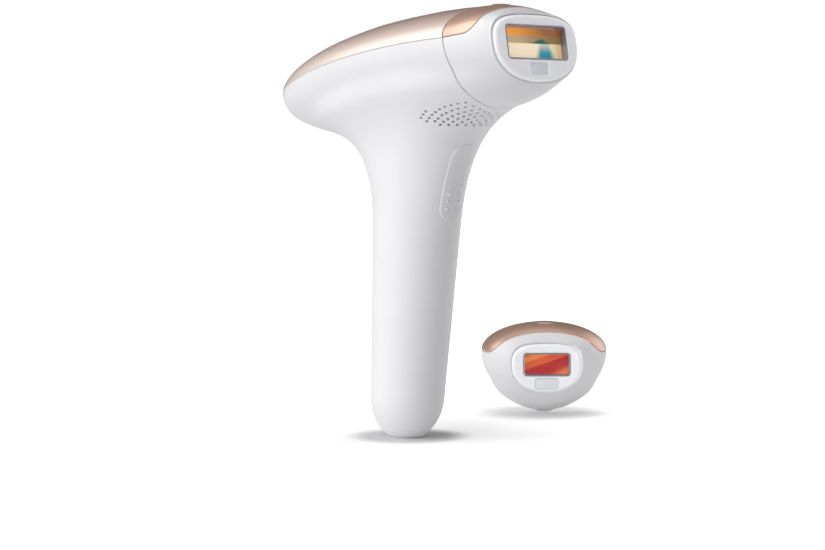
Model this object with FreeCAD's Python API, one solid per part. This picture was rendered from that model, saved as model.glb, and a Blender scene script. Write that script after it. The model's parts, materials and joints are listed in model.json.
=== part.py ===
"""IPL hair remover with a body attachment fitted and a precision attachment beside it.

Frame: +Z up, the treatment window faces -Y, the model is symmetric about X = 0, and the origin
is the centre of the flat at the bottom of the grip. Millimetres throughout.

The head is a long rounded form whose axis rises towards the window. Its widest line, the belt,
is where the crown cover meets the housing. The grip is a leaning oval post that blends into the
keel of the head. Head-fixed parts are modelled in head coordinates: x to the side, y backwards
along the head axis and z up from it, with the origin at the tail.
"""
import FreeCAD, Part
import os
from math import atan2, cos, hypot, pi, radians, sin, sqrt

Vector = FreeCAD.Vector

# ---------------------------------------------------------------- driving dimensions
HEAD_TILT = 6.5            # rise of the head axis towards the window, degrees
TAIL_Y = 84.8              # tail end of the head axis
TAIL_Z = 168.0
HEAD_HALF_WIDTH = 33.2     # at the fullest section
CROWN = 15.6               # belt to top at the fullest section
KEEL = 27.8                # belt to bottom at the fullest section
GIRTH_S = 104.4            # tail to the fullest section along the axis
BELT_DROOP = 9.0e-4        # the belt falls as the square of the distance from there

GRIP_HALF_WIDTH = 15.6     # at the floor, growing with height
GRIP_WIDENING = 0.030
GRIP_HALF_DEPTH = 18.0
GRIP_DEEPENING = 0.05
GRIP_LEAN = 0.08           # the grip leans forwards, mm per mm of height
GRIP_LEAN_FROM = 22.0
FOOT_HEIGHT = 18.0         # height where the grip starts to round in
FOOT_RADIUS = 20.6
NECK_BLEND = 74.0          # reach of the blend between grip and head, front and back
NECK_SIDE = 0.5            # the same at the sides, as a share
NECK_FADE = 0.8            # share of the keel over which the blend fades in

WALL = 2.2                 # housing and cover wall
FLOOR_WALL = 4.0
SEAM_GAP = 0.3             # visible joint line between shells
SEAM_S = 146.0             # front end of the housing along the axis
FACE_S = 172.0             # treatment face along the axis
FACE_TILT = 3.0            # extra upward tilt of the treatment face, degrees
WINDOW_H = -6.4            # centre height of the window

PRECISION_X = 112.5        # where the loose attachment stands
PRECISION_Y = 24.6
PRECISION_TURN = -40.5     # it faces this way, degrees about Z from -Y
FLOOR_CLEARANCE = 0.15

ATTACHMENT_WALL = 1.8
BEZEL_PROUD = 1.8          # bezel front ahead of the shell's rim
BEZEL_TRAVEL = 0.8
BEZEL_EDGE = 1.1           # rounding of the bezel's front edge
POCKET_DEPTH = 1.4         # pocket that the bezel sinks into
RIM_MARGIN = 1.2           # shell outline outside the bezel's
TRIM_REACH = 17.0          # length of the trim from the seam
TRIM_CORNER = 6.0          # rounding of the trim's lower front corner
TRIM_GAP = 0.12            # between trim and shell
CAVITY_DEPTH = 8.0         # free depth behind the light guide
FRAME_LIP = 1.3            # width of the steel frame round the window
GUIDE_WALL = 0.8
GLASS_THICKNESS = 1.4
LATCH_HALF_WIDTH = 4.4     # thumb pad on the trim and latch tab under the shell
PAD_RISE = 0.6
PAD_LENGTH = 8.0
TAB_RISE = 0.8
TAB_LENGTH = 3.4

PIN_X = [-6.0, -3.0, 0.0, 3.0, 6.0]    # coding contacts, head coordinates
PIN_H = -20.5
NOSE_WINDOW_H = -7.2       # centre height of the lamp window in the nose
NOSE_THICKNESS = 3.5
NOSE_SCREWS = [(-18.8, -17.2), (18.8, -17.2), (-25.4, -5.0), (25.4, -5.0)]

BUTTON_WIDTH = 13.0
BUTTON_HEIGHT = 35.0
BUTTON_CORNER = 5.8
BUTTON_Z = 119.3
BUTTON_FLANGE = 1.5        # how far the flange reaches behind the wall
SWITCH_REACH = 19.6        # tip of the flash switch, forward of the grip's centre line
DOT_RADIUS = 0.85
DOT_X = 3.3
DOT_FIRST_Z = 107.5
DOT_PITCH = 3.25
DOT_ROWS = 4

POWER_Z = 108.0
POWER_RADIUS = 4.5
POWER_REACH = 18.4         # tip of the power switch, behind the grip's centre line
LIGHT_Z = [117.0, 120.5, 124.0, 127.5, 131.0]
LIGHT_RADIUS = 0.9

VENT_BOTTOM_Z = 145.3
VENT_ROWS = 10
VENT_ROW_PITCH = 1.85      # measured along the skin
VENT_RADIUS = 0.62
VENT_TIP_ROW = 2           # the row that reaches furthest round the neck
VENT_TIP_AZIMUTH = 39.0    # half of that row, degrees either side of the front
VENT_LIMIT_S = 144.0       # no vents past this station, where the seam is

JACK_RADIUS = 2.75
JACK_DEPTH = 9.5
JACK_BODY = 4.6

LAMP_S = 130.0
LAMP_RADIUS = 2.5
FAN_S = 104.0
FAN_DEPTH = 9.0
FAN_SIZE = 28.0
FAN_H = -4.15
BLADES = 7

HUB = Vector(0, -6, 150)   # centre that the upper rows of the skin fan out from


# ---------------------------------------------------------------- small helpers
def vec(x, y, z):
    return Vector(x, y, z)


def box(x0, x1, y0, y1, z0, z1):
    return Part.makeBox(x1 - x0, y1 - y0, z1 - z0, vec(x0, y0, z0))


def rod(radius, start, end):
    axis = end - start
    return Part.makeCylinder(radius, axis.Length, start, axis)


def fuse(shapes):
    first = shapes[0]
    if len(shapes) == 1:
        return first
    return first.multiFuse(shapes[1:]).removeSplitter()


def cut(shape, tools):
    return shape.cut(Part.makeCompound(tools))


def smooth_step(t):
    t = min(max(t, 0.0), 1.0)
    return t * t * (3 - 2 * t)


def rounded_rectangle(width, height, radius, z=0.0):
    """Closed wire in the XY plane, centred on the origin."""
    a = width / 2
    b = height / 2
    k = radius * (1 - sqrt(0.5))
    r = radius
    line = Part.LineSegment
    arc = Part.Arc
    edges = [
        line(vec(-a + r, -b, z), vec(a - r, -b, z)),
        arc(vec(a - r, -b, z), vec(a - k, -b + k, z), vec(a, -b + r, z)),
        line(vec(a, -b + r, z), vec(a, b - r, z)),
        arc(vec(a, b - r, z), vec(a - k, b - k, z), vec(a - r, b, z)),
        line(vec(a - r, b, z), vec(-a + r, b, z)),
        arc(vec(-a + r, b, z), vec(-a + k, b - k, z), vec(-a, b - r, z)),
        line(vec(-a, b - r, z), vec(-a, -b + r, z)),
        arc(vec(-a, -b + r, z), vec(-a + k, -b + k, z), vec(-a + r, -b, z)),
    ]
    return Part.Wire([edge.toShape() for edge in edges])


def plate(width, height, radius, thickness):
    """Rounded plate in the XY plane, from z = 0 up."""
    return Part.Face(rounded_rectangle(width, height, radius)).extrude(vec(0, 0, thickness))


def placed(shape, origin, turn_axis=None, degrees=0.0):
    """Copy of a shape turned about the origin, then moved."""
    result = shape.copy()
    if turn_axis is not None:
        result.rotate(vec(0, 0, 0), turn_axis, degrees)
    result.translate(origin)
    return result


def on_head(shape):
    """From head coordinates (x, -s, h) to the model's frame."""
    return placed(shape, vec(0, TAIL_Y, TAIL_Z), vec(1, 0, 0), -HEAD_TILT)


# ---------------------------------------------------------------- body skin
def head_local(y, z):
    """Distance along the head axis from the tail, and height above the axis."""
    c = cos(radians(HEAD_TILT))
    s = sin(radians(HEAD_TILT))
    along = (TAIL_Y - y) * c + (z - TAIL_Z) * s
    height = (y - TAIL_Y) * s + (z - TAIL_Z) * c
    return along, height


def belt(along):
    return -BELT_DROOP * (along - GIRTH_S) ** 2


def girth(along):
    """Size of the head section relative to the fullest one."""
    return sqrt(max(1 - abs(1 - along / GIRTH_S) ** 3, 1e-4))


def head_field(x, y, z):
    """Signed distance to the head, and height above the belt."""
    along, height = head_local(y, z)
    up = height - belt(along)
    sigma = 1 - along / GIRTH_S
    rise = CROWN if up > 0 else KEEL
    rho = sqrt((x / HEAD_HALF_WIDTH) ** 2 + (up / rise) ** 2 + abs(sigma) ** 3)
    slope = sqrt((x / HEAD_HALF_WIDTH ** 2) ** 2 + (up / rise ** 2) ** 2
                 + (1.5 * sigma ** 2 / GIRTH_S) ** 2)
    return (rho - 1) * rho / max(slope, 1e-6), up


def grip_centre(z):
    return -GRIP_LEAN * (z - GRIP_LEAN_FROM)


def grip_field(x, y, z):
    """Signed distance to the grip, measured level."""
    half_width = GRIP_HALF_WIDTH + GRIP_WIDENING * z
    half_depth = GRIP_HALF_DEPTH + GRIP_DEEPENING * z
    if z < FOOT_HEIGHT:
        inward = sqrt(1 - ((FOOT_HEIGHT - z) / FOOT_RADIUS) ** 2)
        half_width *= inward
        half_depth *= inward
    y -= grip_centre(z)
    rho = hypot(x / half_width, y / half_depth)
    slope = hypot(x / half_width ** 2, y / half_depth ** 2)
    return (rho - 1) * rho / max(slope, 1e-6)


def skin_field(point):
    """Signed distance to the whole body, negative inside."""
    to_head, up = head_field(point.x, point.y, point.z)
    to_grip = grip_field(point.x, point.y, point.z)
    fore_aft = (point.y - grip_centre(point.z)) ** 2
    side_share = point.x ** 2 / (fore_aft + point.x ** 2 + 1e-9)
    reach = NECK_BLEND * (1 - (1 - NECK_SIDE) * side_share)
    reach = max(reach * smooth_step(-up / (NECK_FADE * KEEL)), 1e-3)
    overlap = max(reach - abs(to_head - to_grip), 0) / reach
    return min(to_head, to_grip) - overlap ** 3 * reach / 6


def cast(origin, direction, inset=0.0):
    """Point where a ray leaves the body skin, or the skin set inwards."""
    low = 0.0
    high = 130.0
    for _ in range(36):
        middle = (low + high) / 2
        if skin_field(origin + direction * middle) < -inset:
            low = middle
        else:
            high = middle
    return origin + direction * low


def belt_point(azimuth, inset):
    """Point of the belt in one plan direction from the hub."""
    low = 0.0
    high = 130.0
    c = cos(radians(HEAD_TILT))
    s = sin(radians(HEAD_TILT))
    for _ in range(36):
        reach = (low + high) / 2
        x = reach * sin(azimuth)
        y = HUB.y + reach * cos(azimuth)
        along = (TAIL_Y - y) / c
        along += belt(along) * s / c
        across = x / (HEAD_HALF_WIDTH - inset)
        end = abs((GIRTH_S - along) / (GIRTH_S - inset))
        if across ** 2 + end ** 3 < 1:
            low = reach
        else:
            high = reach
    height = belt(along)
    return vec(x, TAIL_Y - along * c + height * s, TAIL_Z + along * s + height * c)


def column_azimuths(count):
    """Plan directions from +Y round to -Y, closer together near both ends."""
    phases = [pi * i / count for i in range(count + 1)]
    return [phase - 0.35 * sin(2 * phase) for phase in phases]


def sheet(rows):
    surface = Part.BSplineSurface()
    surface.interpolate(rows)
    return surface.toShape()


def closed_solid(half_sheets):
    """Solid from sheets on one side of X = 0, their mirror images and flat ends."""
    faces = []
    for half in half_sheets:
        faces.append(half)
        faces.append(half.mirror(vec(0, 0, 0), vec(1, 0, 0)))
    shell = Part.makeCompound(faces)
    shell.sewShape(1e-3)
    open_edges = free_edges(shell)
    for loop in Part.sortEdges(open_edges):
        faces.append(Part.Face(Part.Wire(loop)))
    skin = Part.Shell(faces)
    skin.sewShape(1e-3)
    if skin.ShapeType != "Shell":
        skin = skin.Shells[0]
    solid = Part.Solid(skin)
    if solid.Volume < 0:
        solid.reverse()
    return solid


def free_edges(shape):
    """Edges that only one face uses."""
    counts = {}
    for face in shape.Faces:
        for edge in face.Edges:
            key = edge.hashCode()
            counts.setdefault(key, []).append(edge)
    return [edges[0] for edges in counts.values() if len(edges) == 1]


def body_solid(inset, bottom, top_h):
    """Grip and keel up to the belt, then straight up to a plane across the head."""
    foot_rows = 7
    start = max(bottom, 0.0)
    c = cos(radians(HEAD_TILT))
    s = sin(radians(HEAD_TILT))
    heights = []
    for i in range(foot_rows):
        beta = (1 - i / (foot_rows - 1)) * 1.0
        heights.append(FOOT_HEIGHT - (FOOT_HEIGHT - start) * sin(beta * pi / 3) / sin(pi / 3))
    heights += [25, 34, 44, 55, 66, 77, 88, 98, 107, 115]
    azimuths = column_azimuths(30)
    fan_steps = 13
    rows = []
    for z in heights:
        centre = vec(0, grip_centre(z), z)
        rows.append([cast(centre, vec(sin(a), cos(a), 0), inset) for a in azimuths])
    neck = rows[-1]
    crest = [belt_point(a, inset) for a in azimuths]
    low_angle = [atan2(p.z - HUB.z, hypot(p.x, p.y - HUB.y)) for p in neck]
    top_angle = [atan2(p.z - HUB.z, hypot(p.x, p.y - HUB.y)) for p in crest]
    for i in range(1, fan_steps):
        share = i / fan_steps
        share = share + 0.12 * sin(2 * pi * share) / 2
        row = []
        for a, low, high, neck_point in zip(azimuths, low_angle, top_angle, neck):
            plan = atan2(neck_point.x, neck_point.y - HUB.y)
            azimuth = plan + (a - plan) * smooth_step(share)
            angle = low + (high - low) * share
            ray = vec(sin(azimuth) * cos(angle), cos(azimuth) * cos(angle), sin(angle))
            row.append(cast(HUB, ray, inset))
        rows.append(row)
    rows.append(crest)
    for lift in (0.5, 1.0):
        row = []
        for point in crest:
            along, height = head_local(point.y, point.z)
            rise = (top_h - height) * lift
            row.append(vec(point.x, point.y + rise * s, point.z + rise * c))
        rows.append(row)
    for row in rows:
        row[0].x = 0.0
        row[-1].x = 0.0
    return closed_solid([sheet(rows)])


def crown_solid(inset, skirt_h):
    """Dome over the belt, carried straight down to a plane across the head."""
    half_width = HEAD_HALF_WIDTH - inset
    half_length = GIRTH_S - inset
    height = CROWN - inset
    steps = 28
    angles = [pi * i / steps for i in range(steps + 1)]
    rims = [90, 90, 90, 82, 72, 62, 52, 42, 32, 22, 13, 6, 1.5]
    rows = []
    for index, rim in enumerate(rims):
        rho = sin(radians(rim))
        up = height * cos(radians(rim))
        row = []
        for angle in angles:
            reach = dome_reach(angle, rho)
            x = half_width * reach * sin(angle)
            along = GIRTH_S - half_length * reach * cos(angle)
            h = belt(along) + up
            if index < 2:
                h += (skirt_h - h) * (1.0, 0.5)[index]
            row.append(vec(x, -along, h))
        row[0].x = 0.0
        row[-1].x = 0.0
        rows.append(row)
    level = min(point.z for point in rows[-1])
    for point in rows[-1]:
        point.z = level
    return on_head(closed_solid([sheet(rows)]))


def dome_reach(angle, rho):
    """Distance t with (t sin)^2 + |t cos|^3 = rho^2."""
    low = 0.0
    high = 1.5
    for _ in range(40):
        t = (low + high) / 2
        if (t * sin(angle)) ** 2 + abs(t * cos(angle)) ** 3 < rho ** 2:
            low = t
        else:
            high = t
    return low


def belt_region(above, offset):
    """Everything above or below the belt, moved along h by an offset."""
    stations = [-20, 0, 25, 50, 75, 104, 130, 155, 190, 230]
    curve = Part.BSplineCurve()
    curve.interpolate([vec(-60, -s, belt(s) + offset) for s in stations])
    far = 60 if above else -60
    first = curve.StartPoint
    last = curve.EndPoint
    corner_a = vec(-60, last.y, far)
    corner_b = vec(-60, first.y, far)
    wire = Part.Wire([
        curve.toShape(),
        Part.LineSegment(last, corner_a).toShape(),
        Part.LineSegment(corner_a, corner_b).toShape(),
        Part.LineSegment(corner_b, first).toShape(),
    ])
    return on_head(Part.Face(wire).extrude(vec(120, 0, 0)))


def slab(start_s, end_s):
    """Slab across the head between two stations of the axis."""
    return on_head(box(-60, 60, -end_s, -start_s, -80, 60))


# ---------------------------------------------------------------- treatment attachments
SEAM_GIRTH = girth(SEAM_S)
SEAM_BELT = belt(SEAM_S)


class Face:
    """Sizes of one treatment face."""

    def __init__(self, half_width, top, bottom, window, sensor, centre_h):
        self.half_width = half_width
        self.top = top
        self.bottom = bottom
        self.window = window
        self.sensor = sensor
        self.centre_h = centre_h


BODY_FACE = Face(24.7, 12.4, 17.2, (36.0, 15.0), (10.6, 5.4, -11.6), WINDOW_H)
PRECISION_FACE = Face(17.6, 10.4, 13.6, (23.4, 11.4), (11.6, 5.2, -9.6), WINDOW_H)


def face_outline(face, angle, margin):
    """Point of the rounded D: angle from the top towards +X, as side and rise."""
    across = face.half_width + margin
    rise = face.top + margin
    power = 3.0
    if cos(angle) < 0:
        rise = face.bottom + margin
        power = 2.3
    reach = ((abs(sin(angle)) / across) ** power + (abs(cos(angle)) / rise) ** power) ** (-1 / power)
    return reach * sin(angle), reach * cos(angle)


def on_face(shape, face):
    """From face coordinates (x, rise, outwards) to head coordinates."""
    turned = placed(shape, vec(0, 0, 0), vec(1, 0, 0), 90 - FACE_TILT)
    turned.translate(vec(0, -FACE_S, face.centre_h))
    return turned


def outline_plate(face, margin, back, front, edge=0.0):
    """Rounded-D plate between two depths along the face's normal."""
    count = 24
    points = []
    for i in range(2 * count):
        x, rise = face_outline(face, pi * i / count, margin)
        points.append(vec(x, rise, back))
    curve = Part.BSplineCurve()
    curve.interpolate(points, True)
    solid = Part.Face(Part.Wire(curve.toShape())).extrude(vec(0, 0, front - back))
    if edge > 0:
        front_edges = [e for e in solid.Edges if abs(e.BoundBox.ZMin - front) < 1e-6
                       and abs(e.BoundBox.ZMax - front) < 1e-6]
        solid = solid.makeFillet(edge, front_edges)
    return solid


def attachment_body(face, inset, front_depth):
    """Tapering form from the seam section to the rim round the bezel."""
    count = 22
    rows = []
    shares = [0.0, 0.12, 0.25, 0.4, 0.55, 0.68, 0.8, 0.9, 0.96, 1.0]
    tilt = radians(FACE_TILT)
    for share in shares:
        blend = 0.25 * share + 0.75 * share ** 3
        row = []
        for i in range(count + 1):
            angle = pi * i / count
            seam_x, seam_h = seam_outline(angle, inset)
            face_x, face_rise = face_outline(face, angle, RIM_MARGIN - inset)
            face_s = FACE_S - face_rise * sin(tilt) - front_depth
            face_h = face.centre_h + face_rise * cos(tilt)
            start = SEAM_S + SEAM_GAP
            x = seam_x + (face_x - seam_x) * blend
            along = start + (face_s - start) * share
            h = seam_h + (face_h - seam_h) * blend
            row.append(vec(x, -along, h))
        row[0].x = 0.0
        row[-1].x = 0.0
        rows.append(row)
    return closed_solid([sheet(rows)])


def seam_outline(angle, inset):
    """Point of the housing's section at the seam, as side and height."""
    rise = CROWN if cos(angle) >= 0 else KEEL
    x = HEAD_HALF_WIDTH * SEAM_GIRTH * sin(angle)
    up = rise * SEAM_GIRTH * cos(angle)
    if cos(angle) < -0.01:
        c = cos(radians(HEAD_TILT))
        s = sin(radians(HEAD_TILT))
        centre = vec(0, TAIL_Y - SEAM_S * c + SEAM_BELT * s, TAIL_Z + SEAM_S * s + SEAM_BELT * c)
        length = hypot(x, up)
        ray = vec(x, up * s, up * c) / length
        reach = (cast(centre, ray) - centre).Length
        x *= reach / length
        up *= reach / length
    length = hypot(x, up)
    share = (length - inset) / length
    return x * share, SEAM_BELT + up * share


def make_attachment(face, name):
    """Every piece of one attachment, in head coordinates."""
    nodes = {}
    outer = attachment_body(face, 0.0, BEZEL_PROUD)
    inner = attachment_body(face, ATTACHMENT_WALL, BEZEL_PROUD + POCKET_DEPTH + ATTACHMENT_WALL)
    pocket_floor = -BEZEL_PROUD - POCKET_DEPTH
    window_w, window_h = face.window
    sensor_w, sensor_h, sensor_rise = face.sensor

    pocket = outline_plate(face, 0.3, pocket_floor, 2.0)
    guide_hole = plate(window_w + 0.2, window_h + 0.2, 1.6, 12).translated(vec(0, 0, -12))
    sensor_hole = plate(sensor_w + 0.2, sensor_h + 0.2, 0.8, 12).translated(
        vec(0, sensor_rise, -12))
    leg_x = face.half_width - 3.6
    leg_holes = [rod(1.3, vec(x, 0, -12), vec(x, 0, 0)) for x in (-leg_x, leg_x)]
    tools = [on_face(t, face) for t in [pocket, guide_hole, sensor_hole] + leg_holes]
    shell = outer.cut(inner)
    shell = cut(shell, tools)

    start = SEAM_S + SEAM_GAP
    half = LATCH_HALF_WIDTH
    pad = attachment_body(face, -PAD_RISE, BEZEL_PROUD).common(
        box(-half, half, -start - PAD_LENGTH, -start - 1.5, 0, 40))
    tab = attachment_body(face, -TAB_RISE, BEZEL_PROUD).common(
        box(-half, half, -start - TAB_LENGTH, -start, -50, -15))
    shell = fuse([shell, pad.cut(inner), tab.cut(inner)])
    trim = shell.common(trim_block(start, 0.0))
    shell = shell.cut(trim_block(start, TRIM_GAP))
    nodes[name + "_shell"] = shell
    nodes[name + "_trim"] = trim

    bezel_back = pocket_floor + BEZEL_TRAVEL + 0.35
    bezel = outline_plate(face, 0.0, bezel_back, 0.0, BEZEL_EDGE)
    bezel = bezel.cut(plate(window_w + 0.7, window_h + 0.7, 1.9, 12).translated(vec(0, 0, -6)))
    bezel = bezel.cut(plate(sensor_w + 0.7, sensor_h + 0.7, 1.0, 12).translated(
        vec(0, sensor_rise, -6)))
    legs = [rod(0.95, vec(x, 0, -7.5), vec(x, 0, -2.0)) for x in (-leg_x, leg_x)]
    nodes[name + "_bezel"] = on_face(fuse([bezel] + legs), face)

    frame = plate(window_w, window_h, 1.6, -pocket_floor).translated(vec(0, 0, pocket_floor))
    clear_w = window_w - 2 * FRAME_LIP
    clear_h = window_h - 2 * FRAME_LIP
    frame = frame.cut(plate(clear_w, clear_h, 1.0, 12).translated(vec(0, 0, -6)))
    nodes[name + "_window_frame"] = on_face(frame, face)
    glass_w = window_w - 2 * GUIDE_WALL - 0.1
    glass_h = window_h - 2 * GUIDE_WALL - 0.1
    glass_back = vec(0, 0, pocket_floor - GLASS_THICKNESS)
    glass = plate(glass_w, glass_h, 0.75, GLASS_THICKNESS).translated(glass_back)
    nodes[name + "_filter_glass"] = on_face(glass, face)
    lens = plate(sensor_w, sensor_h, 0.7, 5.6).translated(vec(0, sensor_rise, -6.0))
    nodes[name + "_skin_sensor"] = on_face(lens, face)

    guide_length = FACE_S + pocket_floor - SEAM_S - CAVITY_DEPTH
    guide_back = vec(0, 0, pocket_floor - guide_length)
    guide = plate(window_w, window_h, 1.5, guide_length).translated(guide_back)
    bore_w = window_w - 2 * GUIDE_WALL
    bore_h = window_h - 2 * GUIDE_WALL
    guide = guide.cut(plate(bore_w, bore_h, 0.8, 60).translated(vec(0, 0, -40)))
    nodes[name + "_light_guide"] = on_face(guide, face)
    nodes[name + "_contacts"] = contact_board(start)
    return nodes


def trim_block(start, grow):
    """Upper rear part of an attachment, where the trim is."""
    front = -start - TRIM_REACH - grow
    bottom = SEAM_BELT - grow
    block = box(-60, 60, front, -start + 5, bottom, 40)
    corner = [e for e in block.Edges if abs(e.BoundBox.YMax - front) < 1e-6
              and abs(e.BoundBox.ZMax - bottom) < 1e-6]
    return block.makeFillet(TRIM_CORNER + grow, corner)


def contact_board(start):
    """Coding contacts that the housing's pins press on, just inside the seam."""
    board = box(-9, 9, -start - 4.0, -start - 2.6, PIN_H - 2.5, PIN_H + 2.5)
    pads = [rod(0.9, vec(x, -start - 2.6, PIN_H), vec(x, -start - 2.3, PIN_H)) for x in PIN_X]
    posts = [rod(0.8, vec(x, -start - 3.3, PIN_H - 2.5), vec(x, -start - 3.3, PIN_H - 6.2))
             for x in (-7.0, 7.0)]
    return fuse([board] + pads + posts)


def stand_precision(shape):
    """From head coordinates to the loose attachment's place on the floor."""
    lowest = seam_outline(pi, -TAB_RISE)[1] - FLOOR_CLEARANCE
    moved = placed(shape, vec(0, SEAM_S, -lowest))
    moved.rotate(vec(0, 0, 0), vec(0, 0, 1), PRECISION_TURN)
    moved.translate(vec(PRECISION_X, PRECISION_Y, 0))
    return moved


# ---------------------------------------------------------------- grip fittings
def grip_place(shape):
    """From grip coordinates, where z is height and y is level from the grip's centre line."""
    lean = FreeCAD.Matrix()
    lean.A23 = -GRIP_LEAN
    lean.A24 = GRIP_LEAN * GRIP_LEAN_FROM
    return shape.transformGeometry(lean)


def skin_point(azimuth, z):
    """Skin point at one height, azimuth in degrees from the front towards +X."""
    a = radians(azimuth)
    return cast(vec(0, grip_centre(z), z), vec(sin(a), -cos(a), 0))


def front_prism(width, height, radius, z, back):
    """Rounded prism through the front of the grip, along Y."""
    prism = plate(width, height, radius, 80)
    prism.rotate(vec(0, 0, 0), vec(1, 0, 0), 90)
    prism.translate(vec(0, back, z))
    return prism


def skin_normal(point):
    """Outward direction of the skin at a point on it."""
    step = 0.05
    slopes = []
    for axis in (vec(step, 0, 0), vec(0, step, 0), vec(0, 0, step)):
        slopes.append(skin_field(point + axis) - skin_field(point - axis))
    return vec(*slopes).normalize()


def vent_point(azimuth, distance):
    """Skin point in one plan direction, a distance up the skin from the lowest row of vents."""
    ray = vec(sin(azimuth), -cos(azimuth), 0)
    z = VENT_BOTTOM_Z
    point = cast(vec(0, HUB.y, z), ray)
    travelled = 0.0
    while travelled < distance:
        z += 0.2
        following = cast(vec(0, HUB.y, z), ray)
        travelled += (following - point).Length
        point = following
    return point


def vent_spread(row):
    """Half of one row of vents, degrees either side of the front."""
    past_tip = row - VENT_TIP_ROW
    if past_tip < 0:
        return VENT_TIP_AZIMUTH + 5.0 * past_tip
    return VENT_TIP_AZIMUTH - 1.9 * past_tip - 0.12 * past_tip ** 2


def vent_holes():
    """Staggered rows of holes across the front of the neck, square to the skin."""
    holes = []
    for row in range(VENT_ROWS):
        step = 4.9 + 0.22 * row
        first = 0.5 * (row % 2)
        for i in range(-10, 11):
            degrees = (i + first) * step
            if abs(degrees) > vent_spread(row):
                continue
            point = vent_point(radians(degrees), row * VENT_ROW_PITCH)
            if head_local(point.y, point.z)[0] > VENT_LIMIT_S:
                continue
            normal = skin_normal(point)
            holes.append(rod(VENT_RADIUS, point - normal * 4, point + normal * 2))
    return holes


def make_shells(nodes):
    outer = body_solid(0.0, 0.0, 4.0)
    inner = body_solid(WALL, FLOOR_WALL, 6.0)
    shell = outer.cut(inner)
    shell = shell.cut(belt_region(True, -SEAM_GAP / 2))
    shell = shell.cut(slab(SEAM_S, 300))

    boss = box(16.2, 32, -SEAM_S + 3.7, -SEAM_S + 8, -20, -14.6)
    bosses = Part.makeCompound([boss, boss.mirror(vec(0, 0, 0), vec(1, 0, 0))])
    bosses = on_head(bosses).common(outer)
    shell = fuse([shell] + bosses.Solids)

    gap = 2 * SEAM_GAP
    opening = front_prism(BUTTON_WIDTH + gap, BUTTON_HEIGHT + gap, BUTTON_CORNER + 0.3,
                          BUTTON_Z, -12)
    power_hole = rod(POWER_RADIUS + SEAM_GAP, vec(0, 8, POWER_Z), vec(0, 60, POWER_Z))
    light_holes = [rod(LIGHT_RADIUS, vec(0, 8, z), vec(0, 60, z)) for z in LIGHT_Z]
    jack_hole = rod(JACK_BODY + 0.05, vec(0, 0, -1), vec(0, 0, 6))
    screw_holes = [on_head(rod(0.95, vec(x, -132, h), vec(x, -143, h)))
                   for x, h in NOSE_SCREWS[:2]]
    shell = cut(shell, [opening, power_hole, jack_hole] + light_holes + screw_holes)
    shell = cut(shell, vent_holes())
    nodes["main_housing"] = shell

    dome = crown_solid(0.0, -16.0)
    cover = dome.cut(crown_solid(WALL, -18.0))
    cover = cover.common(belt_region(True, SEAM_GAP / 2))
    tongue = crown_solid(WALL + 0.3, -16.0).cut(crown_solid(WALL + 1.5, -18.0))
    tongue = tongue.common(belt_region(True, -1.8)).cut(belt_region(True, 2.5))
    tongue = tongue.cut(slab(-10, 16)).cut(slab(SEAM_S - 5, 300))
    bridge = crown_solid(WALL - 0.2, -16.0).cut(crown_solid(WALL + 1.5, -18.0))
    bridge = bridge.common(belt_region(True, 1.2)).cut(belt_region(True, 2.5))
    bridge = bridge.cut(slab(-10, 16)).cut(slab(SEAM_S - 5, 300))
    cover = fuse([cover, tongue, bridge]).cut(slab(SEAM_S, 300))
    nodes["top_cover"] = cover

    nodes["nose_frame"] = make_nose_frame()
    nodes["flash_button"] = make_flash_button(outer)
    nodes["power_button"] = make_power_button(outer)
    pipes = []
    for z in LIGHT_Z:
        pipes.append(rod(LIGHT_RADIUS - 0.05, vec(0, 9, z), vec(0, 60, z)).common(outer))
    nodes["intensity_lights"] = Part.makeCompound([pipe.Solids[0] for pipe in pipes])


def make_nose_frame():
    inset = WALL + 0.25
    fill = body_solid(inset, FLOOR_WALL, 6.0).cut(belt_region(True, 0.0))
    crown = crown_solid(inset, -18.0).common(belt_region(True, 0.0))
    back = SEAM_S - NOSE_THICKNESS
    band = slab(back, SEAM_S)
    frame = fuse([fill.common(band), crown.common(band)])
    width, height = BODY_FACE.window
    spigot = plate(width, height, 1.5, 12)
    spigot.rotate(vec(0, 0, 0), vec(1, 0, 0), 90)
    spigot.translate(vec(0, -SEAM_S + 5, NOSE_WINDOW_H))
    hole = plate(width - 1.6, height - 1.6, 0.8, 40)
    hole.rotate(vec(0, 0, 0), vec(1, 0, 0), 90)
    hole.translate(vec(0, -SEAM_S + 20, NOSE_WINDOW_H))
    frame = fuse([frame, on_head(spigot).cut(slab(back - 6, back))])
    tools = [on_head(hole)]
    for x, h in NOSE_SCREWS:
        tools.append(on_head(rod(1.1, vec(x, -130, h), vec(x, -150, h))))
        tools.append(on_head(rod(2.1, vec(x, -SEAM_S + 1.6, h), vec(x, -150, h))))
    for x in PIN_X:
        tools.append(on_head(rod(0.85, vec(x, -130, PIN_H), vec(x, -150, PIN_H))))
    return cut(frame, tools)


def switch_tip_y():
    return grip_centre(BUTTON_Z) - SWITCH_REACH


def power_tip_y():
    return grip_centre(POWER_Z) + POWER_REACH


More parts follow.
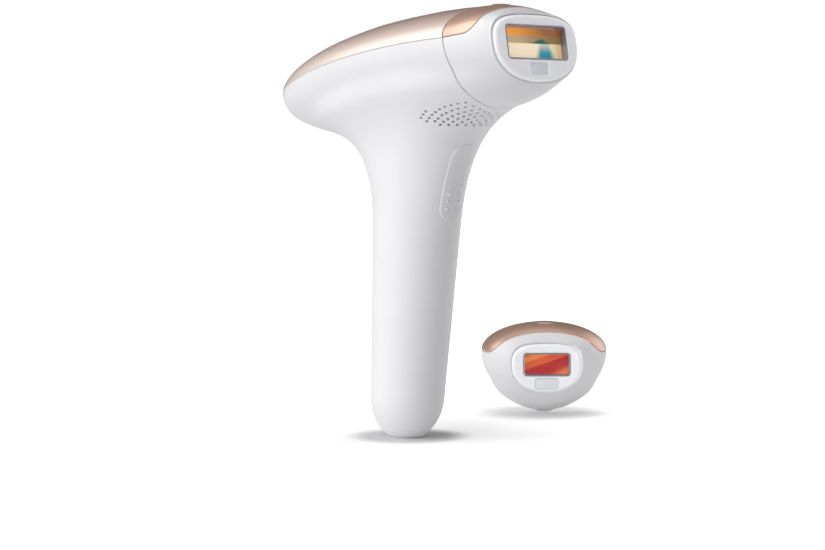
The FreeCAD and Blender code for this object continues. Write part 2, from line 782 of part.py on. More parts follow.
def make_flash_button(outer):
    """Skin-flush key with a flange that keeps it behind the wall, a stem and finger dots."""
    inside = body_solid(WALL + 1.4, FLOOR_WALL, 6.0)
    patch = outer.cut(inside).common(
        front_prism(BUTTON_WIDTH, BUTTON_HEIGHT, BUTTON_CORNER, BUTTON_Z, -12))
    flange = body_solid(WALL + 0.4, FLOOR_WALL, 6.0).cut(inside).common(
        front_prism(BUTTON_WIDTH + 3, BUTTON_HEIGHT + 3, BUTTON_CORNER + 1.5, BUTTON_Z, -12))
    patch = patch.fuse(flange)
    stem_y = skin_point(0, BUTTON_Z).y + WALL + 1.0
    stem = rod(2.0, vec(0, stem_y, BUTTON_Z), vec(0, switch_tip_y() - 0.55, BUTTON_Z))
    dots = []
    for side in (-DOT_X, DOT_X):
        for i in range(DOT_ROWS):
            z = DOT_FIRST_Z + i * DOT_PITCH
            azimuth = side / 22.0 * 180 / pi
            skin = skin_point(azimuth, z)
            dots.append(Part.makeSphere(DOT_RADIUS, skin + vec(0, 0.42, 0)))
    return fuse([patch, stem] + dots)


def make_power_button(outer):
    pad = rod(POWER_RADIUS, vec(0, 13.6, POWER_Z), vec(0, 60, POWER_Z)).common(outer)
    flange = rod(POWER_RADIUS + 1.1, vec(0, 13.0, POWER_Z), vec(0, 14.0, POWER_Z))
    stem = rod(1.6, vec(0, power_tip_y() + 0.35, POWER_Z), vec(0, 14.0, POWER_Z))
    return fuse([pad, flange, stem])


def make_grip_parts(nodes):
    jack = rod(JACK_BODY, vec(0, 0, 0), vec(0, 0, 15))
    jack = jack.cut(rod(JACK_RADIUS, vec(0, 0, 0), vec(0, 0, JACK_DEPTH)))
    nodes["dc_socket"] = jack

    nodes["main_capacitor"] = lean_rod(12.4, 26, 80)

    spine = box(-6.5, 6.5, 12.7, 14.2, 22, 158)
    tray = box(-17, 17, -116, -60, -20, -18.2)
    posts = [rod(1.6, vec(x, -s, -18.2), vec(x, -s, 2.0)) for x in (-13, 13) for s in (64, 93)]
    tray = fuse([tray] + posts)
    tray = on_head(tray)
    nodes["chassis"] = fuse([grip_place(spine), tray])

    nodes["main_board"] = grip_place(box(-12.5, 12.5, 8.0, 9.6, 86, 134))
    nodes["button_board"] = grip_place(box(-6.5, 6.5, -15.5, -13.9, 101, 131))
    long_posts = [grip_place(rod(1.4, vec(0, -13.9, z), vec(0, 8.0, z))) for z in (105, 128)]
    short_posts = [grip_place(rod(1.4, vec(0, 9.6, z), vec(0, 12.7, z))) for z in (90, 130)]
    nodes["board_posts"] = Part.makeCompound(long_posts + short_posts)

    centre = grip_centre(BUTTON_Z)
    body = box(-3, 3, centre - 18.4, centre - 15.6, BUTTON_Z - 3, BUTTON_Z + 3)
    body = body.cut(grip_place(box(-10, 10, -15.6, -10, 90, 140)))
    plunger = rod(1.7, vec(0, centre - 18.4, BUTTON_Z), vec(0, switch_tip_y() + 0.6, BUTTON_Z))
    nodes["flash_switch"] = fuse([body, plunger])
    centre = grip_centre(POWER_Z)
    body = box(-3, 3, centre + 14.5, centre + 17.2, POWER_Z - 3, POWER_Z + 3)
    plunger = rod(1.7, vec(0, centre + 17.2, POWER_Z), vec(0, power_tip_y() - 0.6, POWER_Z))
    nodes["power_switch"] = fuse([body, plunger])


def lean_rod(radius, bottom, top):
    """Round can along the leaning centre line of the grip."""
    return rod(radius, vec(0, grip_centre(bottom), bottom), vec(0, grip_centre(top), top))


# ---------------------------------------------------------------- light engine and fan
def make_light_engine(nodes):
    centre = vec(0, -LAMP_S, NOSE_WINDOW_H)
    side = vec(1, 0, 0)
    lamp = rod(LAMP_RADIUS, centre - side * 20.5, centre + side * 20.5)
    nodes["flash_lamp"] = on_head(lamp)
    caps = []
    for way in (-1, 1):
        cap = rod(4.0, centre + side * 19.5 * way, centre + side * 23.3 * way)
        cap = cap.cut(lamp)
        caps.append(cap)
    nodes["lamp_end_caps"] = on_head(Part.makeCompound(caps))

    outer = trough(9.0, 18.0, 137.6)
    trough_inside = trough(8.2, 17.2, 150.0)
    reflector = outer.cut(trough_inside)
    ends = trough(9.0, 18.0, 137.6).cut(box(-17.2, 17.2, -200, 0, -60, 60))
    reflector = fuse([reflector, ends])
    reflector = reflector.cut(rod(3.0, centre - side * 30, centre + side * 30))
    nodes["lamp_reflector"] = on_head(reflector)

    width, height = BODY_FACE.window
    filter_plate = plate(width, height, 1.2, 2.0)
    filter_plate.rotate(vec(0, 0, 0), vec(1, 0, 0), 90)
    filter_plate.translate(vec(0, -SEAM_S + 3.6 + 2.0, NOSE_WINDOW_H))
    nodes["lamp_filter"] = on_head(filter_plate)

    holder = box(-27.0, 27.0, -119.6, -117.8, -16, 2)
    arms = [box(x - 1.8, x + 1.8, -142.3, -117.8, -9, -1) for x in (-25.2, 25.2)]
    foot = box(-15, 15, -119.6, -FAN_S - FAN_DEPTH - 0.2, -18.2, -16)
    holder = fuse([holder, foot] + arms)
    holder = cut(holder, [rod(0.95, vec(x, -132, -5.0), vec(x, -143, -5.0)) for x in (-25.4, 25.4)])
    nodes["lamp_holder"] = on_head(holder)

    screws = []
    for x, h in NOSE_SCREWS:
        head = rod(1.9, vec(x, -SEAM_S + 1.6, h), vec(x, -SEAM_S + 0.2, h))
        shank = rod(0.92, vec(x, -SEAM_S + 8, h), vec(x, -SEAM_S + 1.6, h))
        screws.append(fuse([head, shank]))
    nodes["nose_screws"] = on_head(Part.makeCompound(screws))
    pins = [rod(0.75, vec(x, -SEAM_S + 6, PIN_H), vec(x, -SEAM_S - 2.2, PIN_H)) for x in PIN_X]
    block = box(-9, 9, -SEAM_S + 3.6, -SEAM_S + 6.5, PIN_H - 2.2, PIN_H + 2.2)
    nodes["contact_pins"] = on_head(fuse([block] + pins))

    board = box(-16, 16, -98, -58, 2.0, 3.6)
    nodes["control_board"] = on_head(board)
    coil = rod(5.6, vec(-8.5, -80, -12.5), vec(8.5, -80, -12.5))
    core = box(-10, 10, -83, -77, -18.2, -12.5)
    nodes["trigger_coil"] = on_head(fuse([coil, core]))


def trough(radius, half_width, mouth_s):
    """U-shaped block across the head, open ends at plus and minus half_width."""
    left = vec(-half_width, -LAMP_S, NOSE_WINDOW_H)
    right = vec(half_width, -LAMP_S, NOSE_WINDOW_H)
    pipe = rod(radius, left, right)
    straight = box(-half_width, half_width, -mouth_s, -LAMP_S,
                   NOSE_WINDOW_H - radius, NOSE_WINDOW_H + radius)
    return fuse([pipe, straight])


def make_fan(nodes):
    half = FAN_SIZE / 2
    back = vec(0, -FAN_S, FAN_H)
    front = vec(0, -FAN_S - FAN_DEPTH, FAN_H)
    frame = plate(FAN_SIZE, FAN_SIZE, 2.5, FAN_DEPTH)
    frame.rotate(vec(0, 0, 0), vec(1, 0, 0), 90)
    frame.translate(back)
    frame = frame.cut(rod(half - 1.0, back + vec(0, 1, 0), front - vec(0, 1, 0)))
    hub_end = back - vec(0, 1.2, 0)
    hub = rod(6.0, back, hub_end)
    spokes = []
    for i in range(3):
        arm = box(-0.9, 0.9, -FAN_S - 1.2, -FAN_S, FAN_H + 5, FAN_H + half - 0.6)
        arm.rotate(back, vec(0, 1, 0), 30 + 120 * i)
        spokes.append(arm)
    spindle = rod(1.0, back, front + vec(0, 1.6, 0))
    nodes["fan_frame"] = on_head(fuse([frame, hub, spindle] + spokes))

    rotor_back = back - vec(0, 1.6, 0)
    rotor_front = front + vec(0, 0.4, 0)
    rotor = rod(5.6, rotor_back, rotor_front)
    blades = []
    for i in range(BLADES):
        blade = box(-0.5, 0.5, rotor_front.y + 0.3, rotor_back.y - 0.3, FAN_H + 5, FAN_H + half - 1.5)
        blade.rotate(vec(0, (rotor_front.y + rotor_back.y) / 2, FAN_H), vec(0, 0, 1), 38)
        blade.rotate(back, vec(0, 1, 0), i * 360.0 / BLADES)
        blades.append(blade)
    rotor = fuse([rotor] + blades)
    rotor = rotor.common(rod(half - 1.5, rotor_back, rotor_front))
    rotor = rotor.cut(rod(1.05, rotor_back + vec(0, 1, 0), rotor_front + vec(0, 0.9, 0)))
    nodes["fan_rotor"] = on_head(rotor)


def main():
    nodes = {}
    make_shells(nodes)
    make_grip_parts(nodes)
    make_light_engine(nodes)
    make_fan(nodes)
    for name, shape in make_attachment(BODY_FACE, "attachment").items():
        nodes[name] = on_head(shape)
    for name, shape in make_attachment(PRECISION_FACE, "precision").items():
        nodes[name] = stand_precision(shape)
    os.makedirs("parts", exist_ok=True)
    for name, shape in nodes.items():
        shape.exportStep("parts/" + name + ".step")
    return nodes


main()
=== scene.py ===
import json
from math import cos, pi, radians, sin

import bmesh
import bpy
import numpy as np
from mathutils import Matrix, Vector
from mathutils.kdtree import KDTree


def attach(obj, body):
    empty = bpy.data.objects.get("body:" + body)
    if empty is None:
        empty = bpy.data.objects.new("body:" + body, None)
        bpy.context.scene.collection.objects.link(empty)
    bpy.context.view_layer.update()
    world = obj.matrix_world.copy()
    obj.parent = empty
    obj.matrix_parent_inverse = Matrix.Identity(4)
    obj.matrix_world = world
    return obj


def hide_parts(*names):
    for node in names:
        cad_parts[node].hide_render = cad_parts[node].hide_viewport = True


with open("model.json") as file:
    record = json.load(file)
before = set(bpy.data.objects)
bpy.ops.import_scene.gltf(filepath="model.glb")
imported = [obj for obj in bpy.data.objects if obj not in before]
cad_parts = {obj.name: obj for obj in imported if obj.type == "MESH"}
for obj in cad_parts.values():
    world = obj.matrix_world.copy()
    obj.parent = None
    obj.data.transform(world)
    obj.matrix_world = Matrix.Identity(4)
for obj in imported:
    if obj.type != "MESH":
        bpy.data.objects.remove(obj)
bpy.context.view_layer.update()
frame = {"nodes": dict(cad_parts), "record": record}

MM = 0.001

# ---------------------------------------------------------------- driving dimensions
HEAD_TILT = 6.5
TAIL_Y = 84.8
TAIL_Z = 168.0
HEAD_HALF_WIDTH = 33.2
CROWN = 15.6
KEEL = 27.8
GIRTH_S = 104.4
BELT_DROOP = 9.0e-4

GRIP_HALF_WIDTH = 15.6
GRIP_WIDENING = 0.030
GRIP_HALF_DEPTH = 18.0
GRIP_DEEPENING = 0.05
GRIP_LEAN = 0.08
GRIP_LEAN_FROM = 22.0
FOOT_HEIGHT = 18.0
FOOT_RADIUS = 20.6
NECK_BLEND = 74.0
NECK_SIDE = 0.5
NECK_FADE = 0.8

SEAM_S = 146.0
SEAM_GAP = 0.3
BELT_GAP = 0.14
FACE_S = 172.0
FACE_TILT = 3.0
WINDOW_H = -6.4
HUB = np.array([0.0, -6.0, 150.0])

PRECISION_X = 112.5
PRECISION_Y = 24.6
PRECISION_TURN = -40.5
FLOOR_CLEARANCE = 0.15

SHELL_WALL = 1.6
ATTACHMENT_WALL = 1.08
SKIN_INSET = 0.03          # how far the skin stays inside the CAD surface
EDGE = 0.3                 # rounding of shell edges
SEAM_CLEARANCE = 0.3       # how far the housing's own edge stays behind the seam
RIM_EDGE = 0.7             # rounding of an attachment's front rim
BEZEL_PROUD = 1.8
BEZEL_TRAVEL = 0.8
BEZEL_EDGE = 2.0
POCKET_DEPTH = 1.4
RIM_MARGIN = 1.2
TRIM_REACH = 17.0          # length of an attachment's trim from the seam
TRIM_CORNER = 6.0          # rounding of the trim's lower front corner
TRIM_GAP = 0.12
TRIM_EDGE = 0.5            # rounding of trim and shell along the line between them
FRAME_LIP = 0.55
WINDOW_CORNER = 1.6
SENSOR_HOLE_CORNER = 0.8
LEG_MARGIN = 3.6           # from a bezel's side to the middle of its leg
LEG_RADIUS = 0.95
LEG_HOLE_RADIUS = 1.3
GLASS_THICKNESS = 1.4
LATCH_HALF_WIDTH = 4.4
PAD_RISE = 0.58
PAD_LENGTH = 8.0
TAB_RISE = 0.8
TAB_LENGTH = 3.4

BUTTON_WIDTH = 13.0
BUTTON_HEIGHT = 35.0
BUTTON_CORNER = 5.8
BUTTON_Z = 119.3
KEY_PROUD = 0.5
KEY_EDGE = 0.85
KEY_MIDDLE = 6.5           # inset that closes the flash button's outline to a line
KEY_SKIRT = 2.4            # depth of the flash button's sides
FLASH_STEM_RADIUS = 2.0
FLASH_STEM_REACH = 20.15
POWER_STEM_RADIUS = 1.6
POWER_STEM_REACH = 18.75
POWER_DISH = 0.3
POWER_SKIRT = 2.6
DOT_RADIUS = 0.85
DOT_HEIGHT = 0.6
DOT_X = 3.3
DOT_FIRST_Z = 107.5
DOT_PITCH = 3.25
DOT_ROWS = 4
POWER_Z = 108.0
POWER_RADIUS = 4.5
LIGHT_Z = [117.0, 120.5, 124.0, 127.5, 131.0]
LIGHT_RADIUS = 0.9
JACK_BODY = 4.6

VENT_BOTTOM_Z = 145.3
VENT_ROWS = 10
VENT_ROW_PITCH = 1.85
VENT_RADIUS = 0.62
VENT_TIP_ROW = 2
VENT_TIP_AZIMUTH = 39.0
VENT_LIMIT_S = 144.0

C = cos(radians(HEAD_TILT))
S = sin(radians(HEAD_TILT))
FORWARD = np.array([0.0, -C, S])
HIGHER = np.array([0.0, S, C])


class Face:
    """Sizes of one treatment face."""

    def __init__(self, half_width, top, bottom, window, sensor):
        self.half_width = half_width
        self.top = top
        self.bottom = bottom
        self.window = window
        self.sensor = sensor


BODY_FACE = Face(24.7, 12.4, 17.2, (36.0, 15.0), (10.6, 5.4, -11.6))
PRECISION_FACE = Face(17.6, 10.4, 13.6, (23.4, 11.4), (11.6, 5.2, -9.6))


# ---------------------------------------------------------------- body skin
def points_of(x, y, z):
    return np.stack(np.broadcast_arrays(x, y, z), -1).astype(float)


def unit(vectors):
    return vectors / np.maximum(np.linalg.norm(vectors, axis=-1, keepdims=True), 1e-9)


def smooth_step(t):
    t = np.clip(t, 0.0, 1.0)
    return t * t * (3 - 2 * t)


def head_local(y, z):
    return (TAIL_Y - y) * C + (z - TAIL_Z) * S, (y - TAIL_Y) * S + (z - TAIL_Z) * C


def head_to_world(p):
    return points_of(p[..., 0],
                     TAIL_Y + p[..., 1] * C + p[..., 2] * S,
                     TAIL_Z - p[..., 1] * S + p[..., 2] * C)


def belt(along):
    return -BELT_DROOP * (along - GIRTH_S) ** 2


def grip_centre(z):
    return -GRIP_LEAN * (z - GRIP_LEAN_FROM)


def skin_field(p):
    """Signed distance to the whole body, negative inside."""
    x, y, z = p[..., 0], p[..., 1], p[..., 2]
    along, height = head_local(y, z)
    up = height - belt(along)
    sigma = 1 - along / GIRTH_S
    rise = np.where(up > 0, CROWN, KEEL)
    rho = np.sqrt((x / HEAD_HALF_WIDTH) ** 2 + (up / rise) ** 2 + np.abs(sigma) ** 3)
    slope = np.sqrt((x / HEAD_HALF_WIDTH ** 2) ** 2 + (up / rise ** 2) ** 2
                    + (1.5 * sigma ** 2 / GIRTH_S) ** 2)
    to_head = (rho - 1) * rho / np.maximum(slope, 1e-6)

    below = np.maximum(FOOT_HEIGHT - z, 0) / FOOT_RADIUS
    inward = np.sqrt(np.maximum(1 - below ** 2, 1e-3))
    half_width = (GRIP_HALF_WIDTH + GRIP_WIDENING * z) * inward
    half_depth = (GRIP_HALF_DEPTH + GRIP_DEEPENING * z) * inward
    y_grip = y - grip_centre(z)
    rho = np.hypot(x / half_width, y_grip / half_depth)
    slope = np.hypot(x / half_width ** 2, y_grip / half_depth ** 2)
    to_grip = (rho - 1) * rho / np.maximum(slope, 1e-6)

    side_share = x ** 2 / (y_grip ** 2 + x ** 2 + 1e-9)
    reach = NECK_BLEND * (1 - (1 - NECK_SIDE) * side_share)
    reach = np.maximum(reach * smooth_step(-up / (NECK_FADE * KEEL)), 1e-3)
    overlap = np.maximum(reach - np.abs(to_head - to_grip), 0) / reach
    return np.minimum(to_head, to_grip) - overlap ** 3 * reach / 6 + SKIN_INSET


def skin_normal(p):
    step = 0.05
    slopes = [skin_field(p + step * axis) - skin_field(p - step * axis) for axis in np.eye(3)]
    return unit(np.stack(slopes, -1))


REACH_LIMIT = 130.0        # farther than any point of the skin from a ray's start


def farthest(passes, shape, limit, steps=34):
    """Largest values up to a limit that pass a test, found by halving."""
    low = np.zeros(shape)
    high = np.full(shape, limit)
    for _ in range(steps):
        middle = (low + high) / 2
        inside = passes(middle)
        low = np.where(inside, middle, low)
        high = np.where(inside, high, middle)
    return low


def cast(origin, direction):
    """Points where rays leave the skin."""
    origin, direction = np.broadcast_arrays(np.asarray(origin, float), direction)

    def within_skin(reach):
        return skin_field(origin + direction * reach[..., None]) < 0

    reach = farthest(within_skin, direction.shape[:-1], REACH_LIMIT, 30)
    return origin + direction * reach[..., None]


def front_point(x, z, side=-1):
    """Skin point of the grip straight in front of, or behind, a place in the XZ plane."""
    origin = points_of(x, grip_centre(z), z)
    return cast(origin, points_of(0 * x, side, 0 * x))


BELT_LIMIT = (1 - SKIN_INSET / HEAD_HALF_WIDTH) ** 2


def belt_point(azimuth):
    """Belt points in plan directions from the hub, measured from +Y."""
    def beside_hub(reach):
        x = reach * np.sin(azimuth)
        along = (TAIL_Y - HUB[1] - reach * np.cos(azimuth)) / C
        return x, along + belt(along) * S / C

    def within_belt(reach):
        x, along = beside_hub(reach)
        return (x / HEAD_HALF_WIDTH) ** 2 + np.abs(1 - along / GIRTH_S) ** 3 < BELT_LIMIT

    x, along = beside_hub(farthest(within_belt, azimuth.shape, REACH_LIMIT))
    return head_to_world(points_of(x, -along, belt(along)))


def ring_azimuths(count):
    """Plan directions all round, closer together near +Y and -Y."""
    phases = -pi + 2 * pi * np.arange(count) / count
    return phases - 0.35 * np.sin(2 * phases)


# ---------------------------------------------------------------- mesh helpers
class Sheets:
    """Rows of points and faces gathered into one mesh."""

    def __init__(self):
        self.points = []
        self.faces = []
        self.count = 0

    def add(self, points, faces):
        self.faces += [[i + self.count for i in face] for face in faces]
        self.points.append(np.asarray(points, float).reshape(-1, 3))
        self.count += len(self.points[-1])
        return self

    def rings(self, rows, caps=True):
        """Closed rings one after another, with flat ends unless caps is false."""
        rows = np.asarray(rows, float)
        n, m = rows.shape[:2]
        faces = ring_faces(n, m)
        if caps:
            faces += [list(range(m))[::-1], [(n - 1) * m + i for i in range(m)]]
        return self.add(rows, faces)

    def loop(self, rows):
        """Rings whose last row meets the first, such as a frame round a window."""
        rows = np.asarray(rows, float)
        n, m = rows.shape[:2]
        faces = ring_faces(n, m)
        last = (n - 1) * m
        faces += [[last + j, last + (j + 1) % m, (j + 1) % m, j] for j in range(m)]
        return self.add(rows, faces)

    def all_points(self):
        return np.concatenate(self.points)


def ring_faces(n, m):
    index = np.arange(n * m).reshape(n, m)
    ahead = np.roll(index, -1, axis=1)
    quads = np.stack([index[:-1], ahead[:-1], ahead[1:], index[1:]], -1)
    return quads.reshape(-1, 4).tolist()


def border_edges(faces):
    """Directed edges that only one face uses."""
    edges = set()
    for face in faces:
        for a, b in zip(face, face[1:] + face[:1]):
            if (b, a) in edges:
                edges.remove((b, a))
            else:
                edges.add((a, b))
    return sorted(edges)


def trimmed(points, faces, origin, normal):
    """The part of a sheet behind a plane."""
    mesh = bmesh.new()
    corners = [mesh.verts.new(p) for p in points]
    for face in faces:
        mesh.faces.new([corners[i] for i in face])
    geometry = mesh.verts[:] + mesh.edges[:] + mesh.faces[:]
    bmesh.ops.bisect_plane(mesh, geom=geometry, dist=1e-4, plane_co=Vector(origin),
                           plane_no=Vector(normal), clear_outer=True)
    mesh.verts.index_update()
    kept = np.array([v.co[:] for v in mesh.verts])
    kept_faces = [[v.index for v in face.verts] for face in mesh.faces]
    mesh.free()
    return kept, kept_faces


def clipped(points, faces, values):
    """The part of a sheet where the values given for its points are negative."""
    points = list(points)
    crossings = {}
    kept = []
    for face in faces:
        part = []
        for a, b in zip(face, face[1:] + face[:1]):
            if values[a] < 0:
                part.append(a)
            if (values[a] < 0) == (values[b] < 0):
                continue
            low, high = min(a, b), max(a, b)
            if (low, high) not in crossings:
                share = values[low] / (values[low] - values[high])
                crossings[low, high] = len(points)
                points.append(points[low] + (points[high] - points[low]) * share)
            part.append(crossings[low, high])
        if len(part) > 2:
            kept.append(part)
    used = sorted({i for face in kept for i in face})
    place = {old: new for new, old in enumerate(used)}
    return np.array(points)[used], [[place[i] for i in face] for face in kept]


def thickened(points, faces, normals, ends, wall):
    """Closed wall behind an open sheet. ends lists, for each border, a test of its points, the
    direction in which the sheet ends there and the rounding of its edge."""
    edges = border_edges(faces)
    border = np.unique(np.array(edges))
    out = np.zeros_like(points)
    inward = -normals
    radius = np.zeros(len(points))
    for test, axis, edge_radius in ends:
        chosen = border[test(points[border])]
        axes = axis(points[chosen]) if callable(axis) else np.tile(axis, (len(chosen), 1))
        out[chosen] += axes
        along = (inward[chosen] * axes).sum(1, keepdims=True)
        inward[chosen] -= along * axes
        radius[chosen] = np.maximum(radius[chosen], edge_radius)
    inward = unit(inward)
    r = radius[:, None]
    layers = [points]
    for turn in quarter_turn(4):
        layers.append((points + out * r * sin(turn) + inward * r * (1 - cos(turn)))[border])
    layers.append(points + out * r + inward * wall)
    position = np.zeros(len(points), int)
    position[border] = np.arange(len(border))
    count = len(points)

    def index(layer, i):
        if layer == 0:
            return i
        if layer == 5:
            return count + 4 * len(border) + i
        return count + (layer - 1) * len(border) + int(position[i])

    made = [list(face) for face in faces]
    made += [[index(5, i) for i in face][::-1] for face in faces]
    for a, b in edges:
        for layer in range(5):
            made.append([index(layer, b), index(layer, a), index(layer + 1, a),
                         index(layer + 1, b)])
    return np.concatenate(layers), made


def new_object(name, points, faces):
    """Mesh object in metres with its faces turned outwards."""
    mesh = bpy.data.meshes.new(name)
    mesh.from_pydata((np.asarray(points) * MM).tolist(), [], faces)
    solid = bmesh.new()
    solid.from_mesh(mesh)
    bmesh.ops.remove_doubles(solid, verts=solid.verts, dist=1e-7)
    bmesh.ops.recalc_face_normals(solid, faces=solid.faces)
    solid.to_mesh(mesh)
    solid.free()
    made = bpy.data.objects.new(name, mesh)
    bpy.context.scene.collection.objects.link(made)
    return made


def carve(piece, cutters):
    """Subtracts closed shapes from a piece."""
    tool = new_object("cutter", cutters.all_points(), cutters.faces)
    modifier = piece.modifiers.new("carve", "BOOLEAN")
    modifier.operation = "DIFFERENCE"
    modifier.solver = "EXACT"
    modifier.object = tool
    graph = bpy.context.evaluated_depsgraph_get()
    mesh = bpy.data.meshes.new_from_object(piece.evaluated_get(graph))
    piece.modifiers.clear()
    piece.data = mesh
    bpy.data.objects.remove(tool)


def shade(piece, crease=35.0, surface_normal=None):
    """Smooth shading with sharp creases. surface_normal gives exact normals for the faces that
    lie on a known surface, as an array and a mask for an array of points."""
    mesh = piece.data
    mesh.shade_smooth()
    mesh.set_sharp_from_angle(angle=radians(crease))
    if surface_normal is None:
        return
    loops = len(mesh.loops)
    normals = np.zeros(loops * 3)
    mesh.corner_normals.foreach_get("vector", normals)
    normals = normals.reshape(-1, 3)
    corner = np.zeros(loops, int)
    mesh.loops.foreach_get("vertex_index", corner)
    places = vertex_places(mesh)
    count = len(mesh.polygons)
    centres = np.zeros(count * 3)
    facing = np.zeros(count * 3)
    totals = np.zeros(count, int)
    mesh.polygons.foreach_get("center", centres)
    mesh.polygons.foreach_get("normal", facing)
    mesh.polygons.foreach_get("loop_total", totals)
    exact, on_surface = surface_normal(places)
    at_centre, _ = surface_normal(centres.reshape(-1, 3) / MM)
    agree = (at_centre * facing.reshape(-1, 3)).sum(1) > 0.95
    polygon = np.repeat(np.arange(count), totals)
    chosen = agree[polygon] & on_surface[corner]
    normals[chosen] = exact[corner[chosen]]
    mesh.normals_split_custom_set(normals.tolist())


def vertex_places(mesh):
    """Places of a mesh's vertices in millimetres."""
    places = np.zeros(len(mesh.vertices) * 3)
    mesh.vertices.foreach_get("co", places)
    return places.reshape(-1, 3) / MM


def finish_piece(piece, material, body, slot, *nodes):
    piece.data.materials.clear()
    piece.data.materials.append(material)
    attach(piece, body)
    if nodes:
        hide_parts(*nodes)
    return piece


def finished(name, points, faces, crease, material, body, slot, *nodes):
    """A piece in one go, from closed shapes already in their place."""
    piece = new_object(name, points, faces)
    shade(piece, crease)
    return finish_piece(piece, material, body, slot, *nodes)


def quarter_turn(steps):
    """Angles that round an edge, without the first."""
    return radians(90 / steps) * np.arange(1, steps + 1)


def rounded_rectangle(width, height, radius, steps=8, along=1):
    """Outline points anticlockwise from the lower right corner. along is how many pieces each
    straight side has."""
    a = width / 2 - radius
    b = height / 2 - radius
    corners = [(a, -b), (a, b), (-a, b), (-a, -b)]
    points = []
    for quarter, (x, y) in enumerate(corners):
        for i in range(steps + 1):
            angle = (quarter - 1 + i / steps) * pi / 2
            points.append((x + radius * cos(angle), y + radius * sin(angle)))
        out = np.array([cos(quarter * pi / 2), sin(quarter * pi / 2)]) * radius
        start = np.array(points[-1])
        end = np.array(corners[(quarter + 1) % 4]) + out
        points += [start + (end - start) * i / along for i in range(1, along)]
    return np.array(points)


def circle(radius, count=24):
    angles = 2 * pi * np.arange(count) / count
    return np.stack([radius * np.cos(angles), radius * np.sin(angles)], -1)


def across(normal):
    """Two directions square to a normal."""
    side = unit(np.cross(normal, [0.0, 0.0, 1.0]))
    return side, np.cross(side, normal)


def turned_rings(point, normal, profile, count=16):
    """Rings round a normal from (radius, height) pairs."""
    side, over = across(normal)
    rows = []
    for radius, height in profile:
        flat = circle(radius, count)
        rows.append(point + normal * height + flat[:, :1] * side + flat[:, 1:] * over)
    return np.array(rows)


# ---------------------------------------------------------------- housing and cover
COLUMNS = 208


def housing_sheet():
    azimuth = ring_azimuths(COLUMNS)
    plan = points_of(np.sin(azimuth), np.cos(azimuth), 0)
    flat = cast([0, grip_centre(0), 0.0], plan)
    mouth = plan * (JACK_BODY + 0.05 + EDGE)
    rows = [mouth + (flat - mouth) * share for share in (0, 0.35, 0.7, 1.0)]
    for i in range(1, 18):
        lift = 1 - sin((1 - i / 17) * pi / 3) / sin(pi / 3)
        z = FOOT_HEIGHT * lift
        rows.append(cast([0, grip_centre(z), z], plan))
    for z in np.linspace(FOOT_HEIGHT, 115, 44)[1:]:
        rows.append(cast([0, grip_centre(z), z], plan))
    neck = rows[-1]
    crest = belt_point(azimuth) - HIGHER * (BELT_GAP / 2 + EDGE)
    low = np.arctan2(neck[:, 2] - HUB[2], np.hypot(neck[:, 0], neck[:, 1] - HUB[1]))
    high = np.arctan2(crest[:, 2] - HUB[2], np.hypot(crest[:, 0], crest[:, 1] - HUB[1]))
    plan_low = np.arctan2(neck[:, 0], neck[:, 1] - HUB[1])
    for share in np.linspace(0, 1, 57)[1:]:
        share += 0.06 * sin(2 * pi * share)
        turn = plan_low + (azimuth - plan_low) * smooth_step(share)
        angle = low + (high - low) * share
        rows.append(cast(HUB, points_of(np.sin(turn) * np.cos(angle),
                                        np.cos(turn) * np.cos(angle), np.sin(angle))))
    rows = np.array(rows)
    return rows.reshape(-1, 3), ring_faces(*rows.shape[:2])


def on_seam(p):
    return np.abs(head_local(p[:, 1], p[:, 2])[0] - (SEAM_S - SEAM_CLEARANCE - EDGE)) < 0.02


def near_belt(p):
    along, height = head_local(p[:, 1], p[:, 2])
    return np.abs(np.abs(height - belt(along)) - (BELT_GAP / 2 + EDGE)) < 0.05


def near_jack(p):
    return (p[:, 2] < 0.01) & (np.hypot(p[:, 0], p[:, 1]) < JACK_BODY + 1)


def seam_origin():
    return head_to_world(np.array([0.0, -(SEAM_S - SEAM_CLEARANCE - EDGE), 0.0]))


def body_normal(p):
    """Exact normals on the outer skin, and where they hold."""
    return skin_normal(p), (np.abs(skin_field(p)) < 0.06) & (p[:, 2] > 0.02)


def vent_spread(row):
    past_tip = row - VENT_TIP_ROW
    if past_tip < 0:
        return VENT_TIP_AZIMUTH + 5.0 * past_tip
    return VENT_TIP_AZIMUTH - 1.9 * past_tip - 0.12 * past_tip ** 2


def vent_points():
    """Centres of the vents: staggered rows, each a fixed distance up the skin."""
    found = []
    heights = VENT_BOTTOM_Z + 0.2 * np.arange(90)
    for row in range(VENT_ROWS):
        step = 4.9 + 0.22 * row
        for i in range(-10, 11):
            degrees = (i + 0.5 * (row % 2)) * step
            if abs(degrees) > vent_spread(row):
                continue
            ray = np.array([sin(radians(degrees)), -cos(radians(degrees)), 0.0])
            line = cast(points_of(0, HUB[1], heights), ray)
            travelled = np.linalg.norm(np.diff(line, axis=0), axis=1).cumsum()
            travelled = np.concatenate([[0.0], travelled])
            point = line[np.searchsorted(travelled, row * VENT_ROW_PITCH)]
            if head_local(point[1], point[2])[0] <= VENT_LIMIT_S:
                found.append(point)
    return found


def key_ring(offset, depth):
    """Ring round the flash button, offset from its outline and a depth behind the skin."""
    outline = rounded_rectangle(BUTTON_WIDTH + 2 * offset, BUTTON_HEIGHT + 2 * offset,
                                max(BUTTON_CORNER + offset, 0.0), 10, 16)
    place = front_point(outline[:, 0], BUTTON_Z + outline[:, 1])
    return place + [0.0, depth, 0.0]


def round_ring(radius, depth, z):
    """Ring round a centre on the back of the grip, a depth behind the skin."""
    flat = circle(radius, 48)
    place = front_point(flat[:, 0], z + flat[:, 1], side=1)
    return place - [0.0, depth, 0.0]


